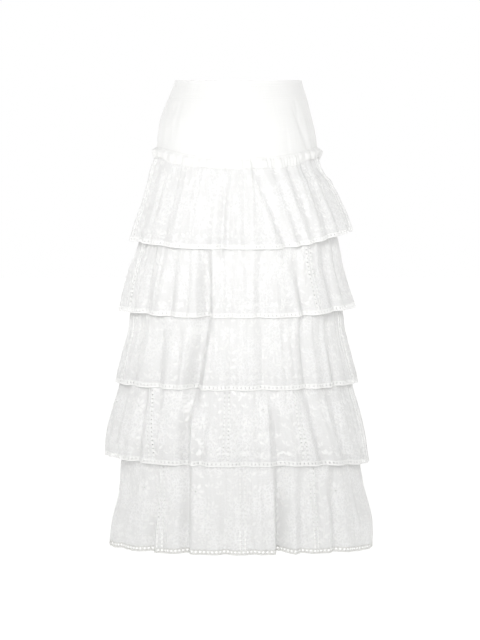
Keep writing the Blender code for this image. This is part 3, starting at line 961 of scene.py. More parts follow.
@dataclass(frozen=True)
class SatinThread:
    """Mercerised embroidery thread: whiter than the cloth under it, with a soft gloss across its stitches.

    Stitches lie 0.4 mm apart and are drawn twice as coarse, so that their ridges show.
    """

    name: str
    colour: str
    shade: str
    translucency: float
    stitch_mm: float = 0.8
    roughness: float = 0.55

    def build(self) -> bpy.types.Material:
        """Makes the material: ridges across each leaf's own length."""
        material, tree = new_material(self.name)
        uv = add_node(tree, "ShaderNodeUVMap", uv_map=CLOTH_UV).outputs["UV"]
        ridge = {"Vector": uv, "Scale": wave_scale(self.stitch_mm), "Distortion": 0.4}
        stitches = add_node(tree, "ShaderNodeTexWave", ridge, bands_direction="DIAGONAL").outputs["Fac"]
        colour = add_node(
            tree, "ShaderNodeMix", {0: stitches, 6: linear(self.shade), 7: linear(self.colour)}, data_type="RGBA"
        ).outputs[2]
        bump = add_node(tree, "ShaderNodeBump", {"Height": stitches, "Strength": 0.5, "Distance": 0.0001}).outputs[0]
        surface = add_node(
            tree,
            "ShaderNodeBsdfPrincipled",
            {"Base Color": colour, "Roughness": self.roughness, "Sheen Weight": 0.2, "Sheen Roughness": 0.3, "Normal": bump},
        ).outputs[0]
        through = add_node(tree, "ShaderNodeBsdfTranslucent", {"Color": colour, "Normal": bump}).outputs[0]
        mixed = add_node(tree, "ShaderNodeMixShader", {0: self.translucency, 1: surface, 2: through}).outputs[0]
        add_node(tree, "ShaderNodeOutputMaterial", {"Surface": mixed})
        return material


@dataclass(frozen=True)
class WovenTape:
    """Woven polyester zip tape: a close herringbone rib, slightly glossier than the cotton."""

    name: str = "woven_polyester_tape"
    colour: str = "#eeeeeb"
    shade: str = "#dcdcd8"
    rib_mm: float = 1.0
    roughness: float = 0.65

    def build(self) -> bpy.types.Material:
        """Makes the material: ribs along the tape."""
        material, tree = new_material(self.name)
        uv = add_node(tree, "ShaderNodeUVMap", uv_map=CLOTH_UV).outputs["UV"]
        rib = {"Vector": uv, "Scale": wave_scale(self.rib_mm), "Distortion": 0.3}
        ribs = add_node(tree, "ShaderNodeTexWave", rib, bands_direction="X").outputs["Fac"]
        colour = add_node(
            tree, "ShaderNodeMix", {0: ribs, 6: linear(self.shade), 7: linear(self.colour)}, data_type="RGBA"
        ).outputs[2]
        bump = add_node(tree, "ShaderNodeBump", {"Height": ribs, "Strength": 0.6, "Distance": 0.0002}).outputs[0]
        shader = {"Base Color": colour, "Roughness": self.roughness, "Normal": bump}
        surface = add_node(tree, "ShaderNodeBsdfPrincipled", shader).outputs[0]
        add_node(tree, "ShaderNodeOutputMaterial", {"Surface": surface})
        return material


@dataclass(frozen=True)
class LacqueredZinc:
    """Die-cast zinc under white lacquer: smooth, a little uneven, with an even gloss."""

    name: str = "white_lacquered_zinc"
    colour: str = "#dcdcd8"
    roughness: float = 0.28
    orange_peel_mm: float = 0.5

    def build(self) -> bpy.types.Material:
        """Makes the material, on Object coordinates."""
        material, tree = new_material(self.name)
        place = add_node(tree, "ShaderNodeTexCoord").outputs["Object"]
        peel = {"Vector": place, "Scale": 1 / (self.orange_peel_mm * MM), "Detail": 1.0}
        skin = add_node(tree, "ShaderNodeTexNoise", peel).outputs["Fac"]
        bump = add_node(tree, "ShaderNodeBump", {"Height": skin, "Strength": 0.15, "Distance": 0.00005}).outputs[0]
        shader = {"Base Color": linear(self.colour), "Roughness": self.roughness, "Coat Weight": 0.4, "Normal": bump}
        surface = add_node(tree, "ShaderNodeBsdfPrincipled", shader).outputs[0]
        add_node(tree, "ShaderNodeOutputMaterial", {"Surface": surface})
        return material


@dataclass(frozen=True)
class StudioPaint:
    """Matt white paint of the studio floor, clean and even."""

    name: str = "matt_white_floor_paint"
    colour: str = "#fbfbfa"
    glow: float = 0.46

    def build(self) -> bpy.types.Material:
        """Makes the material; the faint glow stands for the light from under a shooting table."""
        material, tree = new_material(self.name)
        shader = {"Base Color": linear(self.colour), "Roughness": 0.9, "Emission Color": linear(self.colour), "Emission Strength": self.glow}
        surface = add_node(tree, "ShaderNodeBsdfPrincipled", shader).outputs[0]
        add_node(tree, "ShaderNodeOutputMaterial", {"Surface": surface})
        return material


@dataclass
class Finishes:
    """Every material, made once."""

    lawn: bpy.types.Material
    frill: bpy.types.Material
    voile: bpy.types.Material
    close_voile: bpy.types.Material
    thread: bpy.types.Material
    soft_thread: bpy.types.Material
    trim: bpy.types.Material
    braid: bpy.types.Material
    tape: bpy.types.Material
    metal: bpy.types.Material

    @classmethod
    def make(cls) -> "Finishes":
        """Builds the materials."""
        return cls(
            lawn=WovenCotton("plain_cotton_lawn", "#ebebea", "#e6e6e5", 0.15, 0.5).build(),
            frill=WovenCotton("gathered_cotton_frill", "#f8f8f7", "#f2f2f1", 0.3, 0.5).build(),
            voile=WovenCotton("sheer_cotton_voile", "#f2f2f2", "#ececeb", 0.36, 0.9, filling="#fafafa").build(),
            # Lighter, lower-contrast copies of the voile and thread for the upper tiers: painted light for the brighter
            # light there.
            close_voile=WovenCotton("cotton_voile_with_painted_light", "#f3f3f3", "#efefee", 0.38, 0.7, filling="#f9f9f9").build(),
            thread=SatinThread("mercerised_embroidery_thread", "#f8f8f7", "#f3f3f2", 0.15).build(),
            soft_thread=SatinThread("embroidery_thread_with_painted_light", "#f8f8f7", "#f4f4f3", 0.2).build(),
            trim=SatinThread("bleached_ladder_trim", "#f9f9f8", "#f4f4f3", 0.2).build(),
            braid=SatinThread("cotton_ladder_braid", "#f4f4f2", "#efefed", 0.4).build(),
            tape=WovenTape().build(),
            metal=LacqueredZinc().build(),
        )


def dress(piece: bpy.types.Object, material: bpy.types.Material, body: Body, slot: Slot, *nodes: str) -> bpy.types.Object:
    """Finishes a piece and ties it to the frame.

    Args:
        piece: The object.
        material: Its finish.
        body: The body that it rides on.
        slot: The record's slot that its finish comes from; not used.
        *nodes: CAD nodes that it stands for.

    Returns:
        The same object.
    """
    piece.data.materials.clear()
    piece.data.materials.append(material)
    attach(piece, body.value)
    if nodes:
        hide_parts(*nodes)
    LOG.info("%s: %d faces", piece.name, len(piece.data.polygons))
    return piece


def stitch_row(form: ClothForm, up: float, pitch: float = 3.2, length: float = 2.4) -> np.ndarray:
    """Places of a row of machine stitches at a height above the hem."""
    along = np.arange(2.5, form.width - 2.5, pitch)
    return np.stack(np.broadcast_arrays(along, up, 0.0, length, 0.55, 0.3), axis=-1)


@dataclass
class FittedTop:
    """Waistband and hip yoke, each in a front and two halves of a back, with their rows of stitching."""

    finishes: Finishes
    band_wall: float = 1.5
    yoke_wall: float = 0.7
    step: float = 3.6
    mean_radius: float = 128.0
    sides: tuple[Side, ...] = (Side.FRONT, Side.BACK_LEFT, Side.BACK_RIGHT)

    def form(self, side: Side, top: Line, low: Line, rows: int, creases: tuple[Crease, ...], drop: float) -> ClothForm:
        """The outer face of a panel between two lines, `drop` below them."""
        angles = np.radians(side.angles(self.mean_radius, self.step))
        parts = np.linspace(0, 1, rows)[:, None]
        heights = top.at(angles) + (low.at(angles) - top.at(angles)) * parts - drop
        angles = np.broadcast_to(angles, heights.shape)
        radius = outline_radius(BODY, heights, angles) - crease_depth(creases, angles, parts)
        return ClothForm(in_space(angles, radius, heights))

    def build(self) -> None:
        """Makes the six panels."""
        for side in self.sides:
            band = self.form(side, WAIST_TOP, BAND_SEAM, 10, (), 0.0)
            self.panel("waistband", side, band, self.band_wall, (band.length - 10, 2.2), [])
            yoke = self.form(side, BAND_SEAM, YOKE_HEM, 26, YOKE_CREASES, 0.05)
            self.panel("yoke", side, yoke, self.yoke_wall, (yoke.length - 2.2,), [f"waistband_{side.label}_cloth"])

    def panel(self, part: str, side: Side, form: ClothForm, wall: float, rows: tuple[float, ...], rests_on: list[str]) -> None:
        """Makes one panel and its stitching."""
        name = f"{part}_{side.label}"
        cloth = cloth_shell(name + "_cloth", form, wall, set(), len(form.up))
        dress(cloth, self.finishes.lawn, Body.SKIRT, Slot.PLAIN, name)
        work = RaisedWork()
        work.leaves(np.concatenate([stitch_row(form, up) for up in rows]))
        stitches = dress(work.piece(name + "_stitching", form), self.finishes.thread, Body.SKIRT, Slot.PLAIN)


@dataclass
class Frill:
    """The narrow frill sewn on at the yoke's lower edge: it puffs out, then hangs in tight gathers."""

    finishes: Finishes
    height: float = 19.0
    rise: float = 2.0
    puff_drop: float = 5.0
    stand: float = 3.0
    wave: float = 2.2
    off: float = 0.9
    gathers: int = 52
    wall: float = 0.5
    step: float = 1.9
    rows: int = 15

    def form(self, side: Side) -> ClothForm:
        """The outer face: each gather is a wave, and every wave has its own size."""
        angles = np.radians(side.angles(150.0, self.step))
        parts = np.linspace(0, 1, self.rows)
        rises = self.rise - (self.rise + self.height) * parts
        knots = np.array([(self.rise, 0.0, 0.0), (-self.puff_drop, 1.0, 0.9), (-self.height, 0.0, 0.4)])
        stand, wave = (column[:, None] for column in curve_through(knots, rises).T)
        heights = YOKE_HEM.at(angles) - SEAM_GAP + rises[:, None]
        angles = np.broadcast_to(angles, heights.shape)
        tier = np.broadcast_to(TierForm(TIERS[0], None).radius(angles, heights), heights.shape)
        carrier = np.where(rises[:, None] > 0, outline_radius(BODY, heights, angles), tier)
        turn = (np.degrees(angles) + 90) / 360 * self.gathers
        size = self.wave * (1 + 0.4 * np.sin(2.1 * np.floor(turn)) * np.cos(0.37 * np.floor(turn)))
        crimp = 0.5 * np.sin(2 * np.pi * (2.37 * turn + 0.2 * np.sin(1.3 * turn))) * wave
        swing = np.sin(2 * np.pi * turn)
        puff = 0.3 + 0.9 * np.sin(angles) ** 8
        radius = carrier + self.off + puff * (self.stand * stand + size * wave * (1 + swing)) + crimp
        ragged = (1.4 * np.sin(0.9 * turn) + 1.0 * np.sin(2.3 * turn + 1)) * (0.6 + 1.6 * np.sin(angles) ** 8)
        return ClothForm(in_space(angles, radius, heights + ragged * parts[:, None]))

    def build(self) -> None:
        """Makes the front and back frills, their gathering stitches and their rolled edges."""
        for side in (Side.FRONT, Side.BACK):
            form = self.form(side)
            name = f"frill_{side.label}"
            cloth = cloth_shell(name + "_cloth", form, self.wall, set(), self.rows)
            dress(cloth, self.finishes.frill, Body.SKIRT, Slot.FRILL, name)
            work = RaisedWork()
            work.leaves(stitch_row(form, form.length - 2.0))
            edge = np.stack(np.broadcast_arrays(np.arange(0.3, form.width - 0.3, 2.4), 0.5), axis=-1)
            work.sweep(edge, np.array([(-0.6, -0.6), (0.6, -0.6), (0.7, 0.1), (0.0, 0.45), (-0.7, 0.1)]))
            edging = dress(work.piece(name + "_edging", form), self.finishes.thread, Body.SKIRT, Slot.FRILL)


class TierForm:
    """The form of one tier, all round: outline, main folds, creases, rolling flutes and fine gathers."""

    def __init__(self, cut: TierCut, above: "TierForm | None") -> None:
        """Keeps the cut and the tier that this one is sewn under.

        Args:
            cut: The tier's own table.
            above: The next tier up, or None for the one that is sewn to the yoke.
        """
        self.cut = cut
        self.above = above
        self.folds = [*cut.folds, *self.back_folds()]
        self.creases = (*cut.creases, *self.back_creases())

    def back_folds(self) -> list[Fold]:
        """Uneven main folds of the back."""
        folds = []
        for i in range(BACK_FOLDS):
            sway = math.sin(2.4 * i + self.cut.back_phase)
            top = BACK_START + BACK_SPAN * (i + 0.5 + 0.22 * sway) / BACK_FOLDS
            hem = top + 2.5 * math.sin(1.3 * i + 2 * self.cut.back_phase)
            deep = self.cut.back_depth * (0.8 + 0.45 * math.sin(1.9 * i + self.cut.back_phase))
            folds.append(Fold(top, hem, 0.5 * deep, deep, BACK_WIDTH - sway, BACK_WIDTH + sway))
        return folds

    def back_creases(self) -> list[Crease]:
        """Soft creases of the back, uneven in place, length and depth as those of the front are."""
        creases = []
        for i in range(BACK_CREASES):
            sway = math.sin(3.1 * i + 1.7 * self.cut.back_phase)
            top = BACK_START + BACK_SPAN * (i + 0.5 + 0.3 * sway) / BACK_CREASES
            low = top + 1.6 * math.sin(2.2 * i + self.cut.back_phase)
            start = -0.1 + 0.3 * math.sin(1.1 * i + self.cut.back_phase) ** 2
            depth = 2.3 + 0.7 * sway if i % 3 else -1.9
            creases.append(Crease(top, low, start, 1.3 - 0.4 * (i % 2), depth, 3.2 + 0.5 * sway))
        return creases

    def hem_at(self, angles: np.ndarray) -> np.ndarray:
        """Heights of the hem, a little higher where a fold takes the cloth inwards."""
        return self.cut.hem.at(angles) + HEM_LIFT * fold_depth(self.folds, angles, 1.0)

    def top_at(self, angles: np.ndarray) -> np.ndarray:
        """Heights where the tier comes into view."""
        return self.above.hem_at(angles) if self.above else YOKE_HEM.at(angles) - 2 * SEAM_GAP

    def lean_at(self, degrees: np.ndarray) -> np.ndarray:
        """How far the cloth's columns lean at the top, so that they follow the folds and ladders."""
        known = [(f.hem_angle, f.top_angle - f.hem_angle) for f in self.folds]
        known += [(a.hem_angle, a.top_angle - a.hem_angle) for a in self.cut.ladders]
        known.sort()
        return np.interp(degrees, [k[0] for k in known], [k[1] for k in known], period=360)

    def swells(self, angles: np.ndarray, hang: np.ndarray) -> np.ndarray:
        """Rolling flutes, which grow towards the hem, and fine gathers, which fade towards it."""
        phase = self.cut.back_phase
        drift = angles + 0.045 * np.sin(3 * angles + phase) + 0.02 * np.sin(8 * angles + 2 * phase)
        wide = np.sin(self.cut.flutes * drift + 0.9 * np.sin(5 * angles + phase))
        weight = 0.65 + 0.35 * np.sin(4 * angles + 3 * phase)
        fine = np.sin(self.cut.gathers * drift + 1.4 * np.sin(13 * angles + phase) + 1.5 * hang)
        finer = np.sin(1.63 * self.cut.gathers * drift + 1.1 * np.sin(17 * angles))
        patch = 0.6 + 0.4 * np.sin(7 * angles + 1.3 * phase)
        return (0.7 + 2.1 * hang) * weight * wide + (0.7 - 0.4 * hang) * patch * (fine + 0.5 * finer)

    def own_radius(self, angles: np.ndarray, heights: np.ndarray, hang: np.ndarray) -> np.ndarray:
        """Distance from the axis before the top is held by what is above it."""
        dips = fold_depth(self.folds, angles, hang) + crease_depth(self.creases, angles, hang)
        return outline_radius(self.cut.sections, heights, angles) - dips + self.swells(angles, hang)

    def radius(self, angles: np.ndarray, heights: np.ndarray) -> np.ndarray:
        """Distance from the axis to the tier's outer face."""
        tops, hems = self.top_at(angles), self.hem_at(angles)
        hang = np.clip((tops - heights) / (tops - hems), 0, 1)
        own_top = self.own_radius(angles, tops, np.zeros_like(hang))
        if self.above:
            limit = self.above.radius(angles, tops) - TIER_CLEARANCE
            cling = np.where(own_top < limit, CLING * np.cos(angles) ** 2, 1.0)
            held = own_top + (limit - own_top) * cling
        else:
            held = outline_radius(BODY, tops, angles)
        fade = np.clip(1 - hang / self.cut.settles, 0, 1) ** 1.3
        return self.own_radius(angles, heights, hang) + (held - own_top) * fade

    def columns(self, side: Side) -> tuple[np.ndarray, list[tuple[int, int]]]:
        """Hem angles of a panel's columns, with two narrow cells of its own for each ladder.

        Args:
            side: The panel.

        Returns:
            Degrees, and for each ladder in this panel its two columns.
        """
        degrees = side.angles(float(np.mean([s.left + s.front for s in self.cut.sections[-2:]])) / 2 * 1.04, CELL_ALONG)
        centres = sorted((a.hem_angle - degrees[0]) % 360 + degrees[0] for a in self.cut.ladders)
        found = []
        for centre in centres:
            if not degrees[0] + 3 < centre < degrees[-1] - 3:
                continue
            at = np.radians(np.array([centre]))
            millimetre = math.degrees(1 / float(self.radius(at, self.hem_at(at))[0]))
            half = LADDER_GAP / 2 * millimetre
            pair = (centre - LADDER_SPREAD / 2 * millimetre, centre + LADDER_SPREAD / 2 * millimetre)
            for gap in pair:
                degrees = degrees[np.abs(degrees - gap) > half * 1.7]
                degrees = np.sort(np.append(degrees, (gap - half, gap + half)))
            found.append(pair)
        return degrees, [(int(np.searchsorted(degrees, a)) - 1, int(np.searchsorted(degrees, b)) - 1) for a, b in found]

    def form(self, side: Side) -> tuple[ClothForm, list[tuple[int, int]], int]:
        """The outer face of a panel.

        Args:
            side: The panel.

        Returns:
            The form, the columns of its ladders, and the first row that shows.
        """
        degrees, ladders = self.columns(side)
        lean = self.lean_at(degrees)
        shown = round(float(np.mean(self.top_at(np.radians(degrees)) - self.hem_at(np.radians(degrees)))) * 1.03 / CELL_UP)
        hang = np.linspace(0, 1, shown + 1)[:, None]
        angles = np.radians(degrees + lean * (1 - hang))
        tops, hems = self.top_at(angles), self.hem_at(angles)
        heights = tops + (hems - tops) * hang
        points = in_space(angles, self.radius(angles, heights), heights)
        hidden = 0
        if self.above:
            hidden = round(SEAM_ABOVE_HEM / (1.3 * CELL_UP))
            top_angles = np.broadcast_to(np.radians(degrees + lean), (hidden, len(degrees)))
            below = np.arange(hidden)[:, None] / hidden
            seams = self.above.hem_at(top_angles) + SEAM_ABOVE_HEM
            held = self.above.radius(top_angles, seams) - SEAM_INSET
            under = self.radius(top_angles, self.top_at(top_angles))
            rises = seams + (self.top_at(top_angles) - seams) * below
            points = np.concatenate([in_space(top_angles, held + (under - held) * below, rises), points])
        return ClothForm(points), ladders, hidden


@dataclass
class Embroidery:
    """Generic flower and leaf work: vines beside the ladders, sprays between them, a border and scattered sprigs."""

    form: ClothForm
    work: RaisedWork
    ladders: list[float]
    top: float
    seed: int
    low: float = 13.5
    relief: float = 0.5
    leaves: list[tuple[float, ...]] = field(default_factory=list)
    busy: list[tuple[float, float, float]] = field(default_factory=list)
    eyelets: list[tuple[int, int, float, float]] = field(default_factory=list)

    def leaf(self, along: float, up: float, turn: float, length: float, width: float) -> None:
        """Draws one leaf if it lies inside the panel."""
        if 4 < along < self.form.width - 4 and self.low - 2 < up < self.top:
            self.leaves.append((along, up, turn, length, width, self.relief))

    def stem(self, path: np.ndarray, width: float = 1.0) -> None:
        """Draws the stretch of a stem that lies inside the panel."""
        inside = (path[:, 0] > 3) & (path[:, 0] < self.form.width - 3) & (path[:, 1] > self.low - 3) & (path[:, 1] < self.top)
        if inside.sum() > 2:
            self.work.thread(path[inside], width, 0.3)

    def flower(self, along: float, up: float, size: float, petals: int, turn: float, open_eye: bool) -> None:
        """Draws a flower, round an eyelet where it has one."""
        if not (size < along < self.form.width - size and self.low < up < self.top - size / 2):
            return
        if open_eye:
            row, column, along, up = self.form.cell(along, up)
            self.eyelets.append((row, column, along, up))
        self.busy.append((along, up, size + 3))
        for i in range(petals):
            way = turn + 2 * math.pi * i / petals
            reach = size * 0.62
            self.leaf(along + reach * math.cos(way), up + reach * math.sin(way), way, size * 0.74, size * 0.42)
        if not open_eye:
            self.leaf(along, up, turn, size * 0.36, size * 0.36)

    def vine(self, along: float, beside: int) -> None:
        """Draws a climbing vine on one side of a ladder."""
        up = np.arange(self.low, self.top + 3, 3.6)
        path = np.stack([along + beside * (20 + 3 * np.sin(up / 18 + along)), up], axis=-1)
        self.stem(path)
        for i, height in enumerate(np.arange(self.low + 4, self.top - 4, 12.5)):
            stem = float(np.interp(height, up, path[:, 0]))
            way = 1 if i % 2 else -1
            self.leaf(stem + way * 6.2, height + 5.2, math.pi / 2 - way * 0.9, 14.5, 6.2)
            self.busy.append((stem, height, 15))

    def branch(self, start: tuple[float, float], heading: float, bend: float, length: float, bloom: float) -> None:
        """Draws a curved branch with paired leaves and a flower at its end."""
        steps = np.linspace(0, 1, max(6, int(length / 7)))
        headings = heading + bend * steps
        strides = np.stack([np.cos(headings), np.sin(headings)], axis=-1) * length / len(steps)
        path = np.array(start) + np.cumsum(strides, axis=0)
        self.stem(path, 1.1)
        for i in range(2, len(path) - 2, 2):
            for way in (-1, 1):
                turn = headings[i] + way * 0.85
                size = 16.5 - 5 * steps[i]
                self.leaf(path[i, 0] + 0.55 * size * math.cos(turn), path[i, 1] + 0.55 * size * math.sin(turn), turn, size, 0.42 * size)
            self.busy.append((path[i, 0], path[i, 1], 15))
        end = path[-1] + bloom * 0.8 * np.array([math.cos(headings[-1]), math.sin(headings[-1])])
        self.flower(end[0], end[1], bloom, 7 if bloom > 16 else 6, headings[-1], bloom > 16)

    def spray(self, along: float, mirror: int) -> None:
        """Draws a tall spray of three flowering branches."""
        tall = self.top - self.low
        base = (along - mirror * 9, self.low + 10)
        self.branch(base, math.pi / 2 - mirror * 0.5, mirror * 0.75, tall * 0.56, 19)
        self.branch((base[0] + mirror * 5, base[1] + tall * 0.12), math.pi / 2 - mirror * 1.15, mirror * 0.9, tall * 0.34, 15)
        self.branch((base[0] + mirror * 4, base[1] + tall * 0.3), math.pi / 2 + mirror * 0.6, -mirror * 0.7, tall * 0.34, 14)

    def border(self) -> None:
        """Draws small flowers, leaf pairs and a scalloped stem above the hem's openwork."""
        pitch = self.form.width / round(self.form.width / 46)
        along = np.arange(3.5, self.form.width - 3.5, 3.6)
        scallop = self.low + 1.5 + 6 * np.abs(np.sin(math.pi * along / pitch))
        self.stem(np.stack([along, scallop], axis=-1), 0.9)
        for i in range(int(self.form.width / pitch)):
            centre = (i + 0.5) * pitch
            if any(abs(centre - ladder) < 15 for ladder in self.ladders):
                continue
            self.flower(centre, self.low + 18, 10.5, 5, 0.5 * i, False)
            for way in (-1, 1):
                self.leaf(centre + way * 16, self.low + 13, math.pi / 2 - way * 1.0, 13, 5.8)

    def sprigs(self, pitch: float = 24.0) -> None:
        """Scatters three-leaved sprigs and dots where nothing else is drawn."""
        rng = np.random.default_rng(self.seed)
        busy = np.array(self.busy + [(ladder, up, 9) for ladder in self.ladders for up in np.arange(0, self.top, 8)])
        for up in np.arange(self.low + 6, self.top - 4, pitch * 0.8):
            for along in np.arange(9, self.form.width - 9, pitch) + rng.uniform(0, pitch / 2):
                x, y = along + rng.uniform(-4, 4), up + rng.uniform(-4, 4)
                turn = math.pi / 2 + rng.uniform(-0.9, 0.9)
                if (np.hypot(busy[:, 0] - x, busy[:, 1] - y) < busy[:, 2]).any():
                    continue
                if rng.random() < 0.25:
                    self.leaf(x, y, turn, 6.5, 6.0)
                    continue
                size = rng.uniform(9.5, 13.0)
                for way in (-1, 0, 1):
                    heading = turn + way * 0.95
                    self.leaf(x + 0.6 * size * math.cos(heading), y + 0.6 * size * math.sin(heading), heading, size, 0.44 * size)

    def draw(self) -> None:
        """Draws the whole panel."""
        for ladder in self.ladders:
            self.vine(ladder, -1)
            self.vine(ladder, 1)
        edges = [-25.0, *self.ladders, self.form.width + 25]
        for i, (first, last) in enumerate(zip(edges, edges[1:])):
            places = max(1, round((last - first) / 135))
            for j in range(places):
                self.spray(first + (last - first) * (j + 0.5) / places, 1 if (i + j) % 2 else -1)
        self.border()
        self.sprigs()
        self.work.leaves(np.array(self.leaves))
        self.work.rings(np.array([(along, up) for _, _, along, up in self.eyelets]), 1.9, 3.8, 0.55)


@dataclass
class Openwork:
    """The hem's ladder trim and the vertical ladders: bound bands with bars between real gaps."""

    form: ClothForm
    edge_band: tuple[float, float] = (0.1, 4.4)
    upper_band: tuple[float, float] = (7.9, 10.9)
    bar_pitch: float = 8.3
    bar_width: float = 4.7
    cord: float = 1.1
    work: RaisedWork = field(default_factory=RaisedWork)

    def hem(self) -> None:
        """Draws the trim along the hem."""
        along = np.arange(0.2, self.form.width - 0.2, CELL_ALONG)
        path = np.stack([along, np.zeros_like(along)], axis=-1)
        self.work.band(path, *self.edge_band, 0.75)
        self.work.band(path, *self.upper_band, 0.6)
        low, high = self.edge_band[1] - 0.6, self.upper_band[0] + 0.6
        bars = np.arange(self.bar_pitch / 2, self.form.width - 2, self.bar_pitch)
        row = np.broadcast_arrays(bars, (low + high) / 2, math.pi / 2, high - low, self.bar_width, 0.5)
        self.work.bars(np.stack(row, axis=-1))
        stitches = stitch_row(self.form, (self.edge_band[0] + self.edge_band[1]) / 2, 2.8, 4.0)
        stitches[:, 2], stitches[:, 4], stitches[:, 5] = math.pi / 2, 1.1, 0.95
        self.work.leaves(stitches)

    def ladder(self, work: RaisedWork, column: int, rows: list[int]) -> None:
        """Draws the cords beside a column of gaps and the bars between them.

        Args:
            work: The raised work that takes them in.
            column: The form's column of cells that is cut.
            rows: The rows that are left as rungs.
        """
        left, right = self.form.along[column], self.form.along[column + 1]
        top, low = self.form.up[rows[0]], self.form.up[-HEM_ROWS - 1]
        up = np.arange(low - 1, top + 1, CELL_UP)
        for along in (left - self.cord / 2, right + self.cord / 2):
            work.thread(np.stack([np.full_like(up, along), up], axis=-1), self.cord, 0.6)
        for row in rows:
            middle = (self.form.up[row] + self.form.up[row + 1]) / 2
            work.bars(np.array([((left + right) / 2, middle, 0.0, right - left + 1.4, 6.0, 0.45)]))


@dataclass
class Tier:
    """One gathered tier in a front and a back: voile shell, embroidery and openwork."""

    shape: TierForm
    finishes: Finishes
    number: int
    wall: float = 0.45

    def build(self) -> None:
        """Makes both panels."""
        for side in (Side.FRONT, Side.BACK):
            self.panel(side)

    def panel(self, side: Side) -> None:
        """Makes one panel with everything that is sewn on it."""
        form, ladders, hidden = self.shape.form(side)
        name = f"{self.shape.cut.name}_{side.label}"
        shell_rows = len(form.up) - HEM_ROWS
        openwork = Openwork(form) if self.number == len(TIERS) else Openwork(form, (0.1, 3.8), (7.2, 10.2), bar_width=BAR_WIDTHS[self.number])
        openwork.hem()
        holes = set()
        # The upper tiers take the voile and thread with painted light, lighter and with less contrast, and keep their
        # eyelets uncut.
        upper = self.number < LOWER_TIERS_FROM
        threads = RaisedWork()
        cells = list(range(hidden + 1, shell_rows - 1))
        for column in (c for pair in ladders for c in pair):
            holes.update((row, column) for row in cells[::-1][1::2])
            openwork.ladder(threads, column, cells[::-1][::2][::-1])
        centres = [float(form.along[a] + form.along[b + 1]) / 2 for a, b in ladders]
        embroidery = Embroidery(form, threads, centres, float(form.up[hidden]) - 1.5, self.number)
        embroidery.draw()
        holes.update((row, column) for row, column, _, _ in embroidery.eyelets if row < shell_rows - 2 and not upper)
        cloth = cloth_shell(name + "_cloth", form, self.wall, holes, shell_rows)
        dress(cloth, self.finishes.close_voile if upper else self.finishes.voile, Body.SKIRT, Slot.TIERS, name)
        finish = self.finishes.braid if self.number == len(TIERS) else self.finishes.trim
        trim = dress(openwork.work.piece(name + "_openwork", form), finish, Body.SKIRT, Slot.TIERS)
        thread = self.finishes.soft_thread if upper else self.finishes.thread
        motifs = dress(embroidery.work.piece(name + "_embroidery", form), thread, Body.SKIRT, Slot.TIERS)


